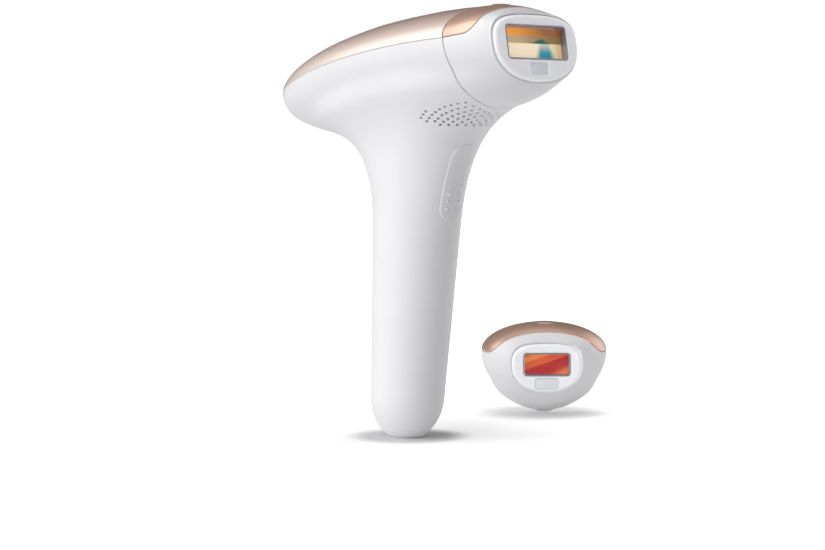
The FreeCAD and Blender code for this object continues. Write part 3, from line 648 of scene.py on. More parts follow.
def make_housing(look):
    points, faces = housing_sheet()
    points, faces = trimmed(points, faces, seam_origin(), FORWARD)
    normals = skin_normal(points)
    normals[points[:, 2] < 0.01] = [0.0, 0.0, -1.0]

    def towards_jack(p):
        return unit(points_of(-p[:, 0], -p[:, 1], 0))

    ends = [(on_seam, FORWARD, EDGE), (near_belt, HIGHER, EDGE), (near_jack, towards_jack, EDGE)]
    piece = new_object("housing_skin", *thickened(points, faces, normals, ends, SHELL_WALL))

    cutters = Sheets()
    slot = [(1.3, -0.6), (0.72, -0.03), (0.6, 0.15), (0.55, 0.5), (0.55, 5.0)]
    cutters.rings([key_ring(offset, depth) for offset, depth in slot])
    hole = [(0.9, -0.6), (0.4, -0.05), (0.26, 0.12), (0.18, 0.45), (0.18, 6.0)]
    cutters.rings([round_ring(POWER_RADIUS + more, depth, POWER_Z) for more, depth in hole])
    for z in LIGHT_Z:
        cutters.rings([round_ring(LIGHT_RADIUS + more, depth, z)
                       for more, depth in ((0.5, -0.4), (0.0, 0.1), (0.0, 6.0))])
    for point in vent_points():
        profile = [(VENT_RADIUS + 0.75, 0.5), (VENT_RADIUS + 0.2, -0.05),
                   (VENT_RADIUS + 0.04, -0.3), (VENT_RADIUS, -0.7), (VENT_RADIUS, -3.4)]
        cutters.rings(turned_rings(point, skin_normal(point), profile, 14))
    carve(piece, cutters)
    shade(piece, surface_normal=body_normal)
    return finish_piece(piece, look, "housing", "white_shell", "main_housing")


def dome_reach(angles, rho):
    """Distance t with (t sin)^2 + |t cos|^3 = rho^2."""
    def within(t):
        return (t * np.sin(angles)) ** 2 + np.abs(t * np.cos(angles)) ** 3 < rho ** 2

    return farthest(within, angles.shape, 1.5)


def dome_ring(rim, angles):
    reach = dome_reach(angles, np.sin(rim)) * (1 - SKIN_INSET / HEAD_HALF_WIDTH)
    along = GIRTH_S * (1 - reach * np.cos(angles))
    side = HEAD_HALF_WIDTH * reach * np.sin(angles)
    return head_to_world(points_of(side, -along, belt(along) + CROWN * np.cos(rim)))


def make_cover(look):
    angles = 2 * pi * np.arange(COLUMNS) / COLUMNS
    first = np.arccos((BELT_GAP / 2 + EDGE) / CROWN)
    rims = first * (1 - np.linspace(0, 1, 56) ** 1.15) + radians(0.8)
    rims[0] = first
    rows = np.array([dome_ring(rim, angles) for rim in rims])
    faces = ring_faces(*rows.shape[:2])
    last = (len(rows) - 1) * COLUMNS
    faces.append([last + i for i in range(COLUMNS)])
    points, faces = trimmed(rows.reshape(-1, 3), faces, seam_origin(), FORWARD)
    ends = [(on_seam, FORWARD, EDGE), (near_belt, -HIGHER, EDGE)]
    points, faces = thickened(points, faces, skin_normal(points), ends, SHELL_WALL)
    shape = Sheets().add(points, faces)
    add_beads(shape)
    piece = new_object("crown_cover", shape.all_points(), shape.faces)
    store_rise(piece)
    shade(piece, surface_normal=body_normal)
    return finish_piece(piece, look, "housing", "rose_gold", "top_cover")


BEAD_PITCH = 1.5
BEAD_RADIUS = 0.52
BEAD_RISE = 0.22
BEADS_FROM = 34
BEADS_LENGTH = 76
BEADS_HALF_WIDTH = 15.5


def add_beads(shape):
    """Fine raised beads along the crown, in staggered rows that taper towards both ends."""
    for row in range(int(BEADS_LENGTH / BEAD_PITCH)):
        along = BEADS_FROM + row * BEAD_PITCH
        share = (along - BEADS_FROM) / BEADS_LENGTH
        half = BEADS_HALF_WIDTH * np.sqrt(max(1 - (2 * share - 1) ** 2, 0))
        for column in range(-12, 13):
            x = (column + 0.5 * (row % 2)) * BEAD_PITCH
            if abs(x) > half:
                continue
            sigma = 1 - along / GIRTH_S
            up = CROWN * np.sqrt(1 - abs(sigma) ** 3 - (x / HEAD_HALF_WIDTH) ** 2)
            point = head_to_world(points_of(x, -along, belt(along) + up))
            profile = [(BEAD_RADIUS, -0.15), (BEAD_RADIUS, 0.0), (BEAD_RADIUS * 0.72, BEAD_RISE * 0.62),
                       (BEAD_RADIUS * 0.3, BEAD_RISE)]
            shape.rings(turned_rings(point, skin_normal(point), profile, 8))


def store_rise(piece):
    """Height above the belt as a share of the crown, for the painted reflection gradient in the cover's
    colour.
    """
    places = vertex_places(piece.data)
    along, height = head_local(places[:, 1], places[:, 2])
    share = np.clip((height - belt(along)) / CROWN, 0, 1).astype(np.float32)
    attribute = piece.data.attributes.new("rise", "FLOAT", "POINT")
    attribute.data.foreach_set("value", share)


def make_keys(look):
    edge = KEY_EDGE
    rings = [key_ring(offset, -KEY_PROUD) for offset in (-KEY_MIDDLE, -5.2, -4.0, -3.0, -2.2, -1.5, -edge)]
    for turn in quarter_turn(6):
        rings.append(key_ring(-edge + edge * sin(turn), edge * (1 - cos(turn)) - KEY_PROUD))
    rings += [key_ring(offset, KEY_SKIRT) for offset in (0.0, -1.5, -KEY_MIDDLE)]
    shape = Sheets().rings(rings, caps=False)
    for side in (-1, 1):
        for i in range(DOT_ROWS):
            place = front_point(np.array([side * DOT_X]), np.array([DOT_FIRST_Z + i * DOT_PITCH]))[0]
            place = place - [0.0, KEY_PROUD, 0.0]
            profile = [(DOT_RADIUS, -0.4), (DOT_RADIUS, 0.0)]
            for turn in radians(18) * np.arange(1, 5):
                profile.append((DOT_RADIUS * cos(turn), DOT_HEIGHT * sin(turn)))
            shape.rings(turned_rings(place, skin_normal(place), profile, 20))
    back = front_point(np.zeros(1), np.array([BUTTON_Z]))[0, 1] + 2.3
    shape.rings([np.insert(circle(FLASH_STEM_RADIUS), 1, y, axis=1) + [0, 0, BUTTON_Z]
                 for y in (back, grip_centre(BUTTON_Z) - FLASH_STEM_REACH)])
    finished("flash_key_cap", shape.all_points(), shape.faces, 40, look, "flash_key",
             "white_key", "flash_button")

    rings = []
    for share in np.linspace(0.06, 1, 12):
        radius = (POWER_RADIUS - edge) * share
        dish = POWER_DISH * smooth_step(1 - (radius / (POWER_RADIUS - edge)) ** 2)
        rings.append(round_ring(radius, dish, POWER_Z))
    for turn in quarter_turn(6):
        rings.append(round_ring(POWER_RADIUS - edge + edge * sin(turn), edge * (1 - cos(turn)), POWER_Z))
    rings.append(round_ring(POWER_RADIUS, POWER_SKIRT, POWER_Z))
    shape = Sheets().rings(rings)
    front = front_point(np.zeros(1), np.array([POWER_Z]), side=1)[0, 1] - 2.4
    shape.rings([np.insert(circle(POWER_STEM_RADIUS), 1, y, axis=1) + [0, 0, POWER_Z]
                 for y in (front, grip_centre(POWER_Z) + POWER_STEM_REACH)])
    finished("power_key_cap", shape.all_points(), shape.faces, 40, look, "power_key",
             "white_key", "power_button")


# ---------------------------------------------------------------- treatment attachments
def seam_outline(angles):
    """The housing's section at the seam, as side and height."""
    girth = np.sqrt(1 - abs(1 - SEAM_S / GIRTH_S) ** 3)
    rise = np.where(np.cos(angles) >= 0, CROWN, KEEL)
    x = HEAD_HALF_WIDTH * girth * np.sin(angles)
    up = rise * girth * np.cos(angles)
    length = np.hypot(x, up)
    centre = head_to_world(np.array([0.0, -SEAM_S, belt(SEAM_S)]))
    rays = points_of(x, up * S, up * C) / length[:, None]
    reach = np.linalg.norm(cast(centre, rays) - centre, axis=1)
    share = np.where(np.cos(angles) < -0.01, reach / length, 1.0)
    return x * share, belt(SEAM_S) + up * share


def face_outline(face, angles, margin):
    """Rounded D: angles from the top towards +X, as side and rise."""
    side = face.half_width + margin
    lower = np.cos(angles) < 0
    rise = np.where(lower, face.bottom, face.top) + margin
    power = np.where(lower, 2.3, 3.0)
    reach = (np.abs(np.sin(angles)) / side) ** power + (np.abs(np.cos(angles)) / rise) ** power
    reach = reach ** (-1 / power)
    return np.stack([reach * np.sin(angles), reach * np.cos(angles)], -1)


def face_to_head(p):
    turn = radians(90 - FACE_TILT)
    return points_of(p[..., 0],
                     p[..., 1] * cos(turn) - p[..., 2] * sin(turn) - FACE_S,
                     p[..., 1] * sin(turn) + p[..., 2] * cos(turn) + WINDOW_H)


def head_to_floor(p):
    """Place of the loose attachment: standing on its lower edge, turned about Z."""
    lowest = seam_outline(np.array([pi]))[1][0] - TAB_RISE - FLOOR_CLEARANCE
    turn = radians(PRECISION_TURN)
    x = p[..., 0]
    y = p[..., 1] + SEAM_S
    return points_of(PRECISION_X + x * cos(turn) - y * sin(turn),
                     PRECISION_Y + x * sin(turn) + y * cos(turn),
                     p[..., 2] - lowest)


OUTWARDS = np.array([0.0, -sin(radians(90 - FACE_TILT)), cos(radians(90 - FACE_TILT))])
ATTACHMENT_START = SEAM_S + SEAM_GAP


def trim_distance(p):
    """Distance outside the trim's outline, seen from the side, and its gradient."""
    front = -p[:, 1] - ATTACHMENT_START - TRIM_REACH
    below = belt(SEAM_S) - p[:, 2]
    over = np.maximum(np.stack([front, below], -1) + TRIM_CORNER, 0)
    both = over.all(axis=1)
    rounded = np.linalg.norm(over, axis=1) - TRIM_CORNER
    distance = np.where(both, rounded, np.maximum(front, below))
    ahead = np.where(both, over[:, 0], front > below)
    down = np.where(both, over[:, 1], front <= below)
    return distance, unit(points_of(0 * ahead, -ahead, -down))


def attachment_sheet(face):
    """Tapering form from the seam to the rim round the bezel, in head coordinates."""
    angles = 2 * pi * np.arange(288) / 288
    seam_x, seam_h = seam_outline(angles)
    rim = face_outline(face, angles, RIM_MARGIN)
    tilt = radians(FACE_TILT)
    start = ATTACHMENT_START + EDGE
    rim_s = FACE_S - rim[:, 1] * sin(tilt) - BEZEL_PROUD - RIM_EDGE
    rim_h = WINDOW_H + rim[:, 1] * cos(tilt)
    rows = []
    for share in np.linspace(0, 1, 48):
        blend = 0.25 * share + 0.75 * share ** 3
        rows.append(points_of(seam_x + (rim[:, 0] - seam_x) * blend,
                              -(start + (rim_s - start) * share),
                              seam_h + (rim_h - seam_h) * blend))
    rows = np.array(rows)
    normals = sheet_normals(rows)
    behind = -rows[..., 1] - start
    side = smooth_step((LATCH_HALF_WIDTH - np.abs(rows[..., 0])) / 1.0)
    pad = side * smooth_step((behind - 1.2) / 1.2) * smooth_step((PAD_LENGTH - behind) / 2.5)
    tab = side * smooth_step((TAB_LENGTH - behind) / 1.4)
    rise = np.where(rows[..., 2] > 0, PAD_RISE * pad, 0) + np.where(rows[..., 2] < -15, TAB_RISE * tab, 0)
    rows = rows + normals * rise[..., None]
    return rows, sheet_normals(rows)


def sheet_normals(rows):
    """Normals of closed rings, pointing away from the axis."""
    round_way = np.roll(rows, -1, axis=1) - np.roll(rows, 1, axis=1)
    long_way = np.gradient(rows, axis=0)
    normals = unit(np.cross(round_way, long_way))
    middle = rows.mean(axis=1, keepdims=True)
    outside = ((rows - middle) * normals).sum(-1).mean() > 0
    return normals if outside else -normals


def nearest_normals(points, rows, normals):
    """Normals for points of a trimmed sheet from the whole sheet's nearest points."""
    flat = rows.reshape(-1, 3)
    tree = KDTree(len(flat))
    for i, p in enumerate(flat):
        tree.insert(p, i)
    tree.balance()
    flat_normals = normals.reshape(-1, 3)
    blended = []
    for p in points:
        found = tree.find_n(p, 3)
        weights = [1 / (distance + 1e-3) for _, _, distance in found]
        blended.append(sum(w * flat_normals[i] for w, (_, i, _) in zip(weights, found)))
    return unit(np.array(blended))


def flat_cutter(width, height, radius, rise, profile):
    """Rings in face coordinates from (margin, outwards) pairs."""
    rows = []
    for margin, outwards in profile:
        outline = rounded_rectangle(width + 2 * margin, height + 2 * margin,
                                    max(radius + margin, 0.05))
        rows.append(points_of(outline[:, 0], outline[:, 1] + rise, outwards))
    return rows


def outline_rings(face, profile, count=192):
    angles = 2 * pi * np.arange(count) / count
    rows = []
    for margin, outwards in profile:
        outline = face_outline(face, angles, margin)
        rows.append(points_of(outline[:, 0], outline[:, 1], outwards))
    return rows


def openings(face, profile):
    """Closed shapes through the window and the sensor's place."""
    window_w, window_h = face.window
    sensor_w, sensor_h, sensor_rise = face.sensor
    shape = Sheets().rings(flat_cutter(window_w, window_h, WINDOW_CORNER, 0.0, profile))
    return shape.rings(flat_cutter(sensor_w, sensor_h, SENSOR_HOLE_CORNER, sensor_rise, profile))


def add_legs(shape, face, radius, low, high):
    """The two legs behind a bezel, or the holes for them."""
    leg = circle(radius)
    leg_x = face.half_width - LEG_MARGIN
    for x in (-leg_x, leg_x):
        shape.rings([points_of(leg[:, 0] + x, leg[:, 1], z) for z in (low, high)])
    return shape


def make_attachment(name, body, bezel_body, face, place, looks):
    """Every moulded piece of one attachment. place takes head coordinates to the frame."""
    rows, normals = attachment_sheet(face)
    sheet = rows.reshape(-1, 3)
    faces = ring_faces(*rows.shape[:2])
    outside, _ = trim_distance(sheet)
    cutback = TRIM_GAP / 2 + TRIM_EDGE

    def at_seam(p):
        return np.abs(-p[:, 1] - ATTACHMENT_START - EDGE) < 0.02

    def at_rim(p):
        return -p[:, 1] > ATTACHMENT_START + TRIM_REACH + 2.0

    def at_split(way):
        return lambda p: np.abs(trim_distance(p)[0] + way * cutback) < 0.06

    def towards_split(way):
        return lambda p: way * trim_distance(p)[1]

    backwards = np.array([0.0, 1.0, 0.0])
    for kind, way in (("trim", 1), ("shell", -1)):
        part, part_faces = clipped(sheet, faces, way * outside + cutback)
        ends = [(at_split(way), towards_split(way), TRIM_EDGE), (at_seam, backwards, EDGE)]
        if kind == "shell":
            ends.append((at_rim, OUTWARDS, RIM_EDGE))
        part_normals = nearest_normals(part, rows, normals)
        shape = Sheets().add(*thickened(part, part_faces, part_normals, ends, ATTACHMENT_WALL))
        finished(name + "_" + kind + "_skin", place(shape.all_points()), shape.faces, 40,
                 looks[kind], body, looks[kind + "_slot"], name + "_" + kind)

    window_w, window_h = face.window
    sensor_w, sensor_h, sensor_rise = face.sensor
    pocket = -BEZEL_PROUD - POCKET_DEPTH

    floor_plate = Sheets().rings(outline_rings(face, [
        (RIM_MARGIN - ATTACHMENT_WALL + 0.05, pocket - 1.5),
        (RIM_MARGIN - ATTACHMENT_WALL + 0.05, pocket)]))
    plate = new_object(name + "_pocket_floor", floor_plate.all_points(), floor_plate.faces)
    through = openings(face, [(0.1, pocket - 4), (0.1, 2)])
    carve(plate, add_legs(through, face, LEG_HOLE_RADIUS, pocket - 4, 2))
    replace_points(plate, lambda p: place(face_to_head(p)))
    shade(plate)
    finish_piece(plate, looks["shell"], body, "white_shell")

    profile = [(-BEZEL_EDGE - 3.0, 0.0), (-BEZEL_EDGE, 0.0)]
    for turn in quarter_turn(8):
        profile.append((-BEZEL_EDGE * (1 - sin(turn)), -BEZEL_EDGE * (1 - cos(turn))))
    profile.append((0.0, pocket + BEZEL_TRAVEL + 0.35))
    ring = Sheets().rings(outline_rings(face, profile))
    bezel = new_object(name + "_contact_ring", ring.all_points(), ring.faces)
    flare = [(0.2, -6.0), (0.2, -0.45), (0.27, -0.2), (0.45, -0.04), (1.0, 0.35)]
    carve(bezel, openings(face, flare))
    join_shape(bezel, add_legs(Sheets(), face, LEG_RADIUS, -7.5, -2.1))
    replace_points(bezel, lambda p: place(face_to_head(p)))
    shade(bezel, 30)
    finish_piece(bezel, looks["bezel"], bezel_body, "bezel_grey", name + "_bezel")

    inner = -FRAME_LIP
    steel = Sheets().loop(flat_cutter(window_w, window_h, WINDOW_CORNER, 0.0, [
        (0.0, pocket), (0.0, -0.45), (-0.1, -0.3), (-0.25, -0.25),
        (inner + 0.18, -0.25), (inner + 0.05, -0.31), (inner, -0.45), (inner, pocket)]))
    finished(name + "_window_rim", place(face_to_head(steel.all_points())), steel.faces, 40,
             looks["frame"], body, "window_steel", name + "_window_frame")

    glass = Sheets().rings(flat_cutter(window_w - 2 * FRAME_LIP, window_h - 2 * FRAME_LIP, 0.8, 0.0, [
        (-0.06, pocket - GLASS_THICKNESS), (-0.06, pocket - 0.15), (-0.2, pocket - 0.02),
        (-0.9, pocket - 0.02)]))
    flat = glass.all_points()
    piece = new_object(name + "_filter_pane", place(face_to_head(flat)), glass.faces)
    share = flat / [window_w / 2 - FRAME_LIP, window_h / 2 - FRAME_LIP, 1.0]
    attribute = piece.data.attributes.new("pane_at", "FLOAT_VECTOR", "POINT")
    attribute.data.foreach_set("vector", share.astype(np.float32).ravel())
    shade(piece, 40)
    finish_piece(piece, looks["glass"], body, looks["glass_slot"], name + "_filter_glass")

    lens = Sheets().rings(flat_cutter(sensor_w, sensor_h, 0.7, sensor_rise, [
        (0.0, -6.0), (0.0, -0.95), (-0.08, -0.78), (-0.3, -0.7), (-0.8, -0.7), (-1.3, -0.82)]))
    finished(name + "_sensor_lens", place(face_to_head(lens.all_points())), lens.faces, 25,
             looks["lens"], body, "sensor_glass", name + "_skin_sensor")


def join_shape(piece, shape):
    """Adds closed shapes to a piece's mesh."""
    extra = new_object("extra", shape.all_points(), shape.faces)
    whole = bmesh.new()
    whole.from_mesh(piece.data)
    whole.from_mesh(extra.data)
    whole.to_mesh(piece.data)
    whole.free()
    bpy.data.objects.remove(extra)


def replace_points(piece, change):
    moved = change(vertex_places(piece.data)) * MM
    piece.data.vertices.foreach_set("co", moved.ravel())
    piece.data.update()


# ---------------------------------------------------------------- materials
class Wiring:
    """Short-hands for wiring a node tree."""

    def __init__(self, tree):
        self.tree = tree

    def node(self, kind, **inputs):
        made = self.tree.nodes.new(kind)
        for key, value in inputs.items():
            self.feed(made.inputs[key.replace("_", " ")], value)
        return made

    def feed(self, socket, value):
        if isinstance(value, bpy.types.NodeSocket):
            self.tree.links.new(value, socket)
        else:
            socket.default_value = value

    def span(self, value, low, high, to_low=0.0, to_high=1.0, smooth=True):
        made = self.tree.nodes.new("ShaderNodeMapRange")
        made.interpolation_type = "SMOOTHSTEP" if smooth else "LINEAR"
        for index, part in enumerate((value, low, high, to_low, to_high)):
            self.feed(made.inputs[index], part)
        return made.outputs[0]

    def maths(self, operation, first, second=0.0):
        made = self.tree.nodes.new("ShaderNodeMath")
        made.operation = operation
        self.feed(made.inputs[0], first)
        self.feed(made.inputs[1], second)
        return made.outputs[0]


class Look(Wiring):
    """A node material."""

    def __init__(self, name):
        self.material = bpy.data.materials.new(name)
        self.material.use_nodes = True
        super().__init__(self.material.node_tree)
        self.shader = self.tree.nodes["Principled BSDF"]
        self.coordinates = self.node("ShaderNodeTexCoord").outputs["Object"]

    def noise(self, scale, detail=3.0):
        made = self.node("ShaderNodeTexNoise", Vector=self.coordinates, Scale=scale, Detail=detail)
        return made.outputs["Fac"]

    def distance(self, place):
        made = self.tree.nodes.new("ShaderNodeVectorMath")
        made.operation = "DISTANCE"
        self.feed(made.inputs[0], self.coordinates)
        made.inputs[1].default_value = place
        return made.outputs["Value"]

    def mix(self, share, first, second):
        made = self.tree.nodes.new("ShaderNodeMix")
        made.data_type = "RGBA"
        self.feed(made.inputs["Factor"], share)
        self.feed(made.inputs["A"], colour(first))
        self.feed(made.inputs["B"], colour(second))
        return made.outputs["Result"]

    def bump(self, height, strength, distance=0.0002):
        made = self.node("ShaderNodeBump", Height=height, Strength=strength, Distance=distance)
        self.feed(self.shader.inputs["Normal"], made.outputs["Normal"])

    def put(self, **sockets):
        for key, value in sockets.items():
            self.feed(self.shader.inputs[key.replace("_", " ")], value)


def colour(value):
    if isinstance(value, bpy.types.NodeSocket):
        return value
    return (*value, 1.0)


def moulded(name, base, shade_colour, roughness, grain=900.0, relief=0.04, cloud=40.0, **sockets):
    """Moulded or plated surface: faint cloudiness in colour over a fine texture."""
    look = Look(name)
    look.put(Base_Color=look.mix(look.span(look.noise(cloud), 0.35, 0.65), base, shade_colour))
    look.bump(look.noise(grain, 2.0), relief)
    look.put(Roughness=roughness, **sockets)
    return look.material


def rose_gold():
    """Metallised lacquer with a painted reflection in its colour: pale at the belt, deepening towards the
    ridge and a little lighter again at the very top.
    """
    look = Look("rose_gold_lacquer")
    rise = look.node("ShaderNodeAttribute")
    rise.attribute_name = "rise"
    ramp = look.tree.nodes.new("ShaderNodeValToRGB")
    look.feed(ramp.inputs["Fac"], rise.outputs["Fac"])
    # painted reflection: pale where the sides face the bright room, darker towards the ridge, slightly
    # lighter at the top
    painted_reflection_stops = [(0.0, (0.93, 0.84, 0.76)), (0.3, (0.86, 0.70, 0.61)), (0.62, (0.74, 0.55, 0.47)),
             (0.88, (0.60, 0.40, 0.35)), (1.0, (0.62, 0.43, 0.38))]
    elements = ramp.color_ramp.elements
    for index, (place, tint) in enumerate(painted_reflection_stops):
        stop = elements[index] if index < 2 else elements.new(place)
        stop.position = place
        stop.color = (*tint, 1.0)
    cloudy = look.mix(look.span(look.noise(60.0), 0.3, 0.7, 0.0, 0.12), ramp.outputs["Color"],
                      (0.95, 0.82, 0.74))
    look.put(Base_Color=cloudy, Metallic=0.3, Coat_Weight=0.5, Coat_Roughness=0.08)
    look.put(Roughness=0.3)
    look.bump(look.noise(1600.0, 2.0), 0.05)
    return look.material


def pane_axes(look):
    place = look.node("ShaderNodeAttribute")
    place.attribute_name = "pane_at"
    split = look.node("ShaderNodeSeparateXYZ", Vector=place.outputs["Vector"])
    return split.outputs["X"], split.outputs["Y"]


def finish_pane(look, tint, glow):
    tint = look.mix(look.span(look.noise(80.0), 0.3, 0.7, 0.0, 0.02), tint, (1.0, 0.95, 0.85))
    # painted glow: the pane emits its own tint, though it is no lamp
    look.put(Base_Color=tint, Coat_Weight=0.5, Coat_Roughness=0.03, Emission_Strength=glow)
    look.put(Emission_Color=tint)
    look.put(Roughness=0.1)
    return look.material


def amber_pane():
    """Amber filter: orange over khaki above the middle, cream with a teal flare below. The orange is the
    glass's own colour; the khaki, brown wedge, green patch, cream and teal flare are painted reflections,
    and the pane has a painted glow.
    """
    look = Look("amber_filter_painted_reflections")
    x, y = pane_axes(look)
    orange = look.mix(look.span(x, -1.0, 0.5), (0.92, 0.33, 0.02), (0.42, 0.15, 0.02))
    # painted reflection: a dark brown wedge over the orange towards the upper right
    wedge_line = look.maths("ADD", look.maths("MULTIPLY", x, -0.55), 0.75)
    brown = look.span(look.maths("SUBTRACT", y, wedge_line), -0.04, 0.06)
    orange = look.mix(look.maths("MULTIPLY", brown, look.span(x, 0.1, 0.5)), orange, (0.30, 0.09, 0.02))
    # painted reflections: khaki under the orange and a dark green wedge right of the middle
    khaki = look.mix(look.span(x, -0.9, 0.7), (0.50, 0.36, 0.20), (0.22, 0.13, 0.035))
    upper = look.mix(look.span(y, 0.38, 0.58), khaki, orange)
    green_left = look.maths("SUBTRACT", look.maths("MULTIPLY", look.maths("SUBTRACT", x, -0.12), 0.79), y)
    green_right = look.maths("SUBTRACT", look.maths("MULTIPLY", look.maths("SUBTRACT", 0.6, x), 1.6), y)
    green = look.maths("MULTIPLY", look.span(green_left, -0.02, 0.10), look.span(green_right, -0.05, 0.25))
    upper = look.mix(green, upper, (0.004, 0.09, 0.055))

    # painted reflections below the middle: cream turning tan to the right, and a teal flare
    lower = look.mix(look.span(x, 0.45, 0.95), (0.86, 0.72, 0.52), (0.66, 0.46, 0.24))
    from_middle = look.maths("SUBTRACT", x, 0.40)
    width = look.span(y, -1.0, 0.0, 0.36, 0.20, smooth=False)
    flare = look.maths("DIVIDE", look.maths("ABSOLUTE", from_middle), width)
    flare = look.span(flare, 0.45, 1.2, 1.0, 0.0)
    flare = look.maths("MULTIPLY", flare, look.span(y, 0.05, -0.6, 0.5, 1.0))
    teal = look.mix(look.span(y, -0.8, -0.1), (0.0, 0.24, 0.33), (0.12, 0.30, 0.36))
    lower = look.mix(flare, lower, teal)
    return finish_pane(look, look.mix(look.span(y, -0.015, 0.015), lower, upper), 0.55)


def red_pane():
    """Red filter: orange at the upper left, crimson past a slanting line, orange low right. The crimson is
    the glass's own colour; the orange zones and the orange band are painted reflections, and the pane has
    a painted glow.
    """
    look = Look("red_filter")
    x, y = pane_axes(look)
    slant = look.maths("SUBTRACT", y, look.maths("MULTIPLY", x, 0.75))
    tint = look.mix(look.span(slant, 0.10, 0.22), (0.43, 0.025, 0.025), (0.66, 0.10, 0.04))
    # painted reflection: an orange band across the pane past the slanting line
    band = look.maths("MULTIPLY", look.span(slant, 0.75, 1.0), look.span(slant, 1.6, 1.25))
    tint = look.mix(band, tint, (0.80, 0.24, 0.07))
    corner = look.maths("SUBTRACT", look.maths("SUBTRACT", x, y), 0.85)
    tint = look.mix(look.span(corner, 0.0, 0.75), tint, (0.74, 0.17, 0.06))
    return finish_pane(look, tint, 0.38)


def make_looks():
    white = moulded("white_gloss_shell", (0.80, 0.795, 0.805), (0.79, 0.785, 0.795), 0.30,
                    relief=0.012, Coat_Weight=0.35, Coat_Roughness=0.12)
    key = moulded("white_satin_key", (0.78, 0.775, 0.785), (0.77, 0.765, 0.775), 0.34,
                  relief=0.012, Coat_Weight=0.25, Coat_Roughness=0.15)
    gold = rose_gold()
    copper = moulded("copper_trim_plating", (0.72, 0.48, 0.37), (0.68, 0.44, 0.33), 0.30,
                     Metallic=0.55, Coat_Weight=0.15, Coat_Roughness=0.08)
    # painted glow: the bezel's emission lifts it paler, though it is no lamp
    bezel = moulded("pearl_bezel_painted_glow", (0.86, 0.88, 0.89), (0.885, 0.865, 0.90), 0.36,
                    relief=0.012, cloud=90.0, Coat_Weight=0.3, Coat_Roughness=0.2,
                    Emission_Color=(0.95, 0.97, 1.0, 1.0), Emission_Strength=0.14)
    steel = moulded("dark_window_steel", (0.36, 0.34, 0.38), (0.42, 0.40, 0.44), 0.28, Metallic=0.7)
    # painted glow: the sensor's emission brightens it, though it is no lamp
    lens = moulded("frosted_sensor_painted_glow", (0.66, 0.69, 0.72), (0.72, 0.74, 0.77), 0.22, Coat_Weight=0.8,
                   Emission_Color=(0.9, 0.95, 1.0, 1.0), Emission_Strength=0.15)
    return {"white": white, "key": key, "gold": gold, "copper": copper, "bezel": bezel,
            "steel": steel, "lens": lens, "amber": amber_pane(), "red": red_pane()}


def dress_inner_nodes():
    """Materials for the CAD nodes that stay."""
    dark = moulded("black_technical_plastic", (0.03, 0.03, 0.033), (0.04, 0.04, 0.043), 0.5,
                   relief=0.15)
    steel = moulded("plated_steel", (0.55, 0.55, 0.57), (0.60, 0.60, 0.62), 0.3, Metallic=1.0)
    by_slot = {
        "grey_plastic": moulded("grey_technical_plastic", (0.42, 0.43, 0.45), (0.46, 0.47, 0.49),
                                0.45, relief=0.1),
        "dark_plastic": dark,
        "circuit_board": moulded("solder_mask", (0.02, 0.16, 0.06), (0.03, 0.20, 0.08), 0.35,
                                 cloud=250.0),
        "capacitor_sleeve": moulded("capacitor_sleeve", (0.02, 0.025, 0.05), (0.03, 0.035, 0.06),
                                    0.4, relief=0.1),
        "contact_gold": moulded("contact_gold", (0.83, 0.62, 0.25), (0.78, 0.58, 0.24), 0.25,
                                Metallic=1.0),
        "coil_copper": moulded("coil_winding", (0.55, 0.22, 0.08), (0.62, 0.27, 0.10), 0.35,
                               grain=2500.0, relief=0.4, Metallic=0.8),
        "screw_steel": steel,
        "lamp_metal": steel,
        "mirror_sleeve": moulded("polished_reflector", (0.85, 0.85, 0.86), (0.88, 0.88, 0.89), 0.08,
                                 Metallic=1.0),
        "lamp_glass": moulded("quartz_tube", (0.85, 0.88, 0.92), (0.88, 0.9, 0.94), 0.1,
                              Transmission_Weight=0.7),
        "filter_glass": moulded("uv_filter_glass", (0.75, 0.42, 0.25), (0.8, 0.46, 0.28), 0.1,
                                Coat_Weight=0.6),
        "light_pipe": moulded("frosted_light_pipe", (0.80, 0.82, 0.84), (0.84, 0.86, 0.88), 0.3,
                              Subsurface_Weight=0.3)}
    for entry in frame["record"]["subparts"]:
        node = frame["nodes"][entry["node"]]
        look = by_slot.get(entry["material_slot"])
        if look is None:
            continue
        node.data.materials.clear()
        node.data.materials.append(look)


# ---------------------------------------------------------------- stage
VIEW_AZIMUTH = 40.5        # degrees that the camera stands round to the device's left
VIEW_DISTANCE = 1.0
VIEW_HEIGHT = 0.13645
AIM_RIGHT = 0.0021         # where the camera aims, per metre in front of it
AIM_DOWN = 0.0607
FOCAL = 2.59394            # focal length as a share of the frame's width
SENSOR = 36.0

FILL_POWER = 1.6
FILL_CONE = 22
FILL_SOFTNESS = 0.06
FILL_FORWARD = 0.30
FILL_RIGHT = 0.10
FILL_UP = 0.05
FILL_AIM_Z = 14.0

BACKDROP_STRENGTH = 1.05
ROOM_TINT = (0.985, 0.985, 1.0, 1)
ROOM_BASE = 0.05
# azimuth, elevation, full inside, none outside (degrees), strength
ROOM_LOBES = [(106.0, 32.0, 20.0, 56.0, 2.3), (-82.0, 14.0, 10.0, 44.0, 1.3),
              (0.0, 90.0, 18.0, 50.0, 0.8)]

FLOOR_SIZE = 6.0
FLOOR_DROP = 0.0001
# distances in metres over which the floor's glow sets in round the foot, round the loose
# attachment's place, and again further out. Holding the glow back there paints a shadow on
# the floor under the foot and under the loose attachment, and paints the floor darker near the device
FOOT_DIM = (0.017, 0.033)
LOOSE_DIM = (0.018, 0.045)
FAR_RANGE = (0.03, 0.2)
NEAR_GLOW = 0.45
FAR_GLOW = 0.5
UNSEEN_GLOW = 0.14         # what everything but the camera gets from the floor


def direction(azimuth, elevation):
    """Unit vector: azimuth from -Y towards -X, elevation up from the floor."""
    a, e = radians(azimuth), radians(elevation)
    return Vector((-sin(a) * cos(e), -cos(a) * cos(e), sin(e)))


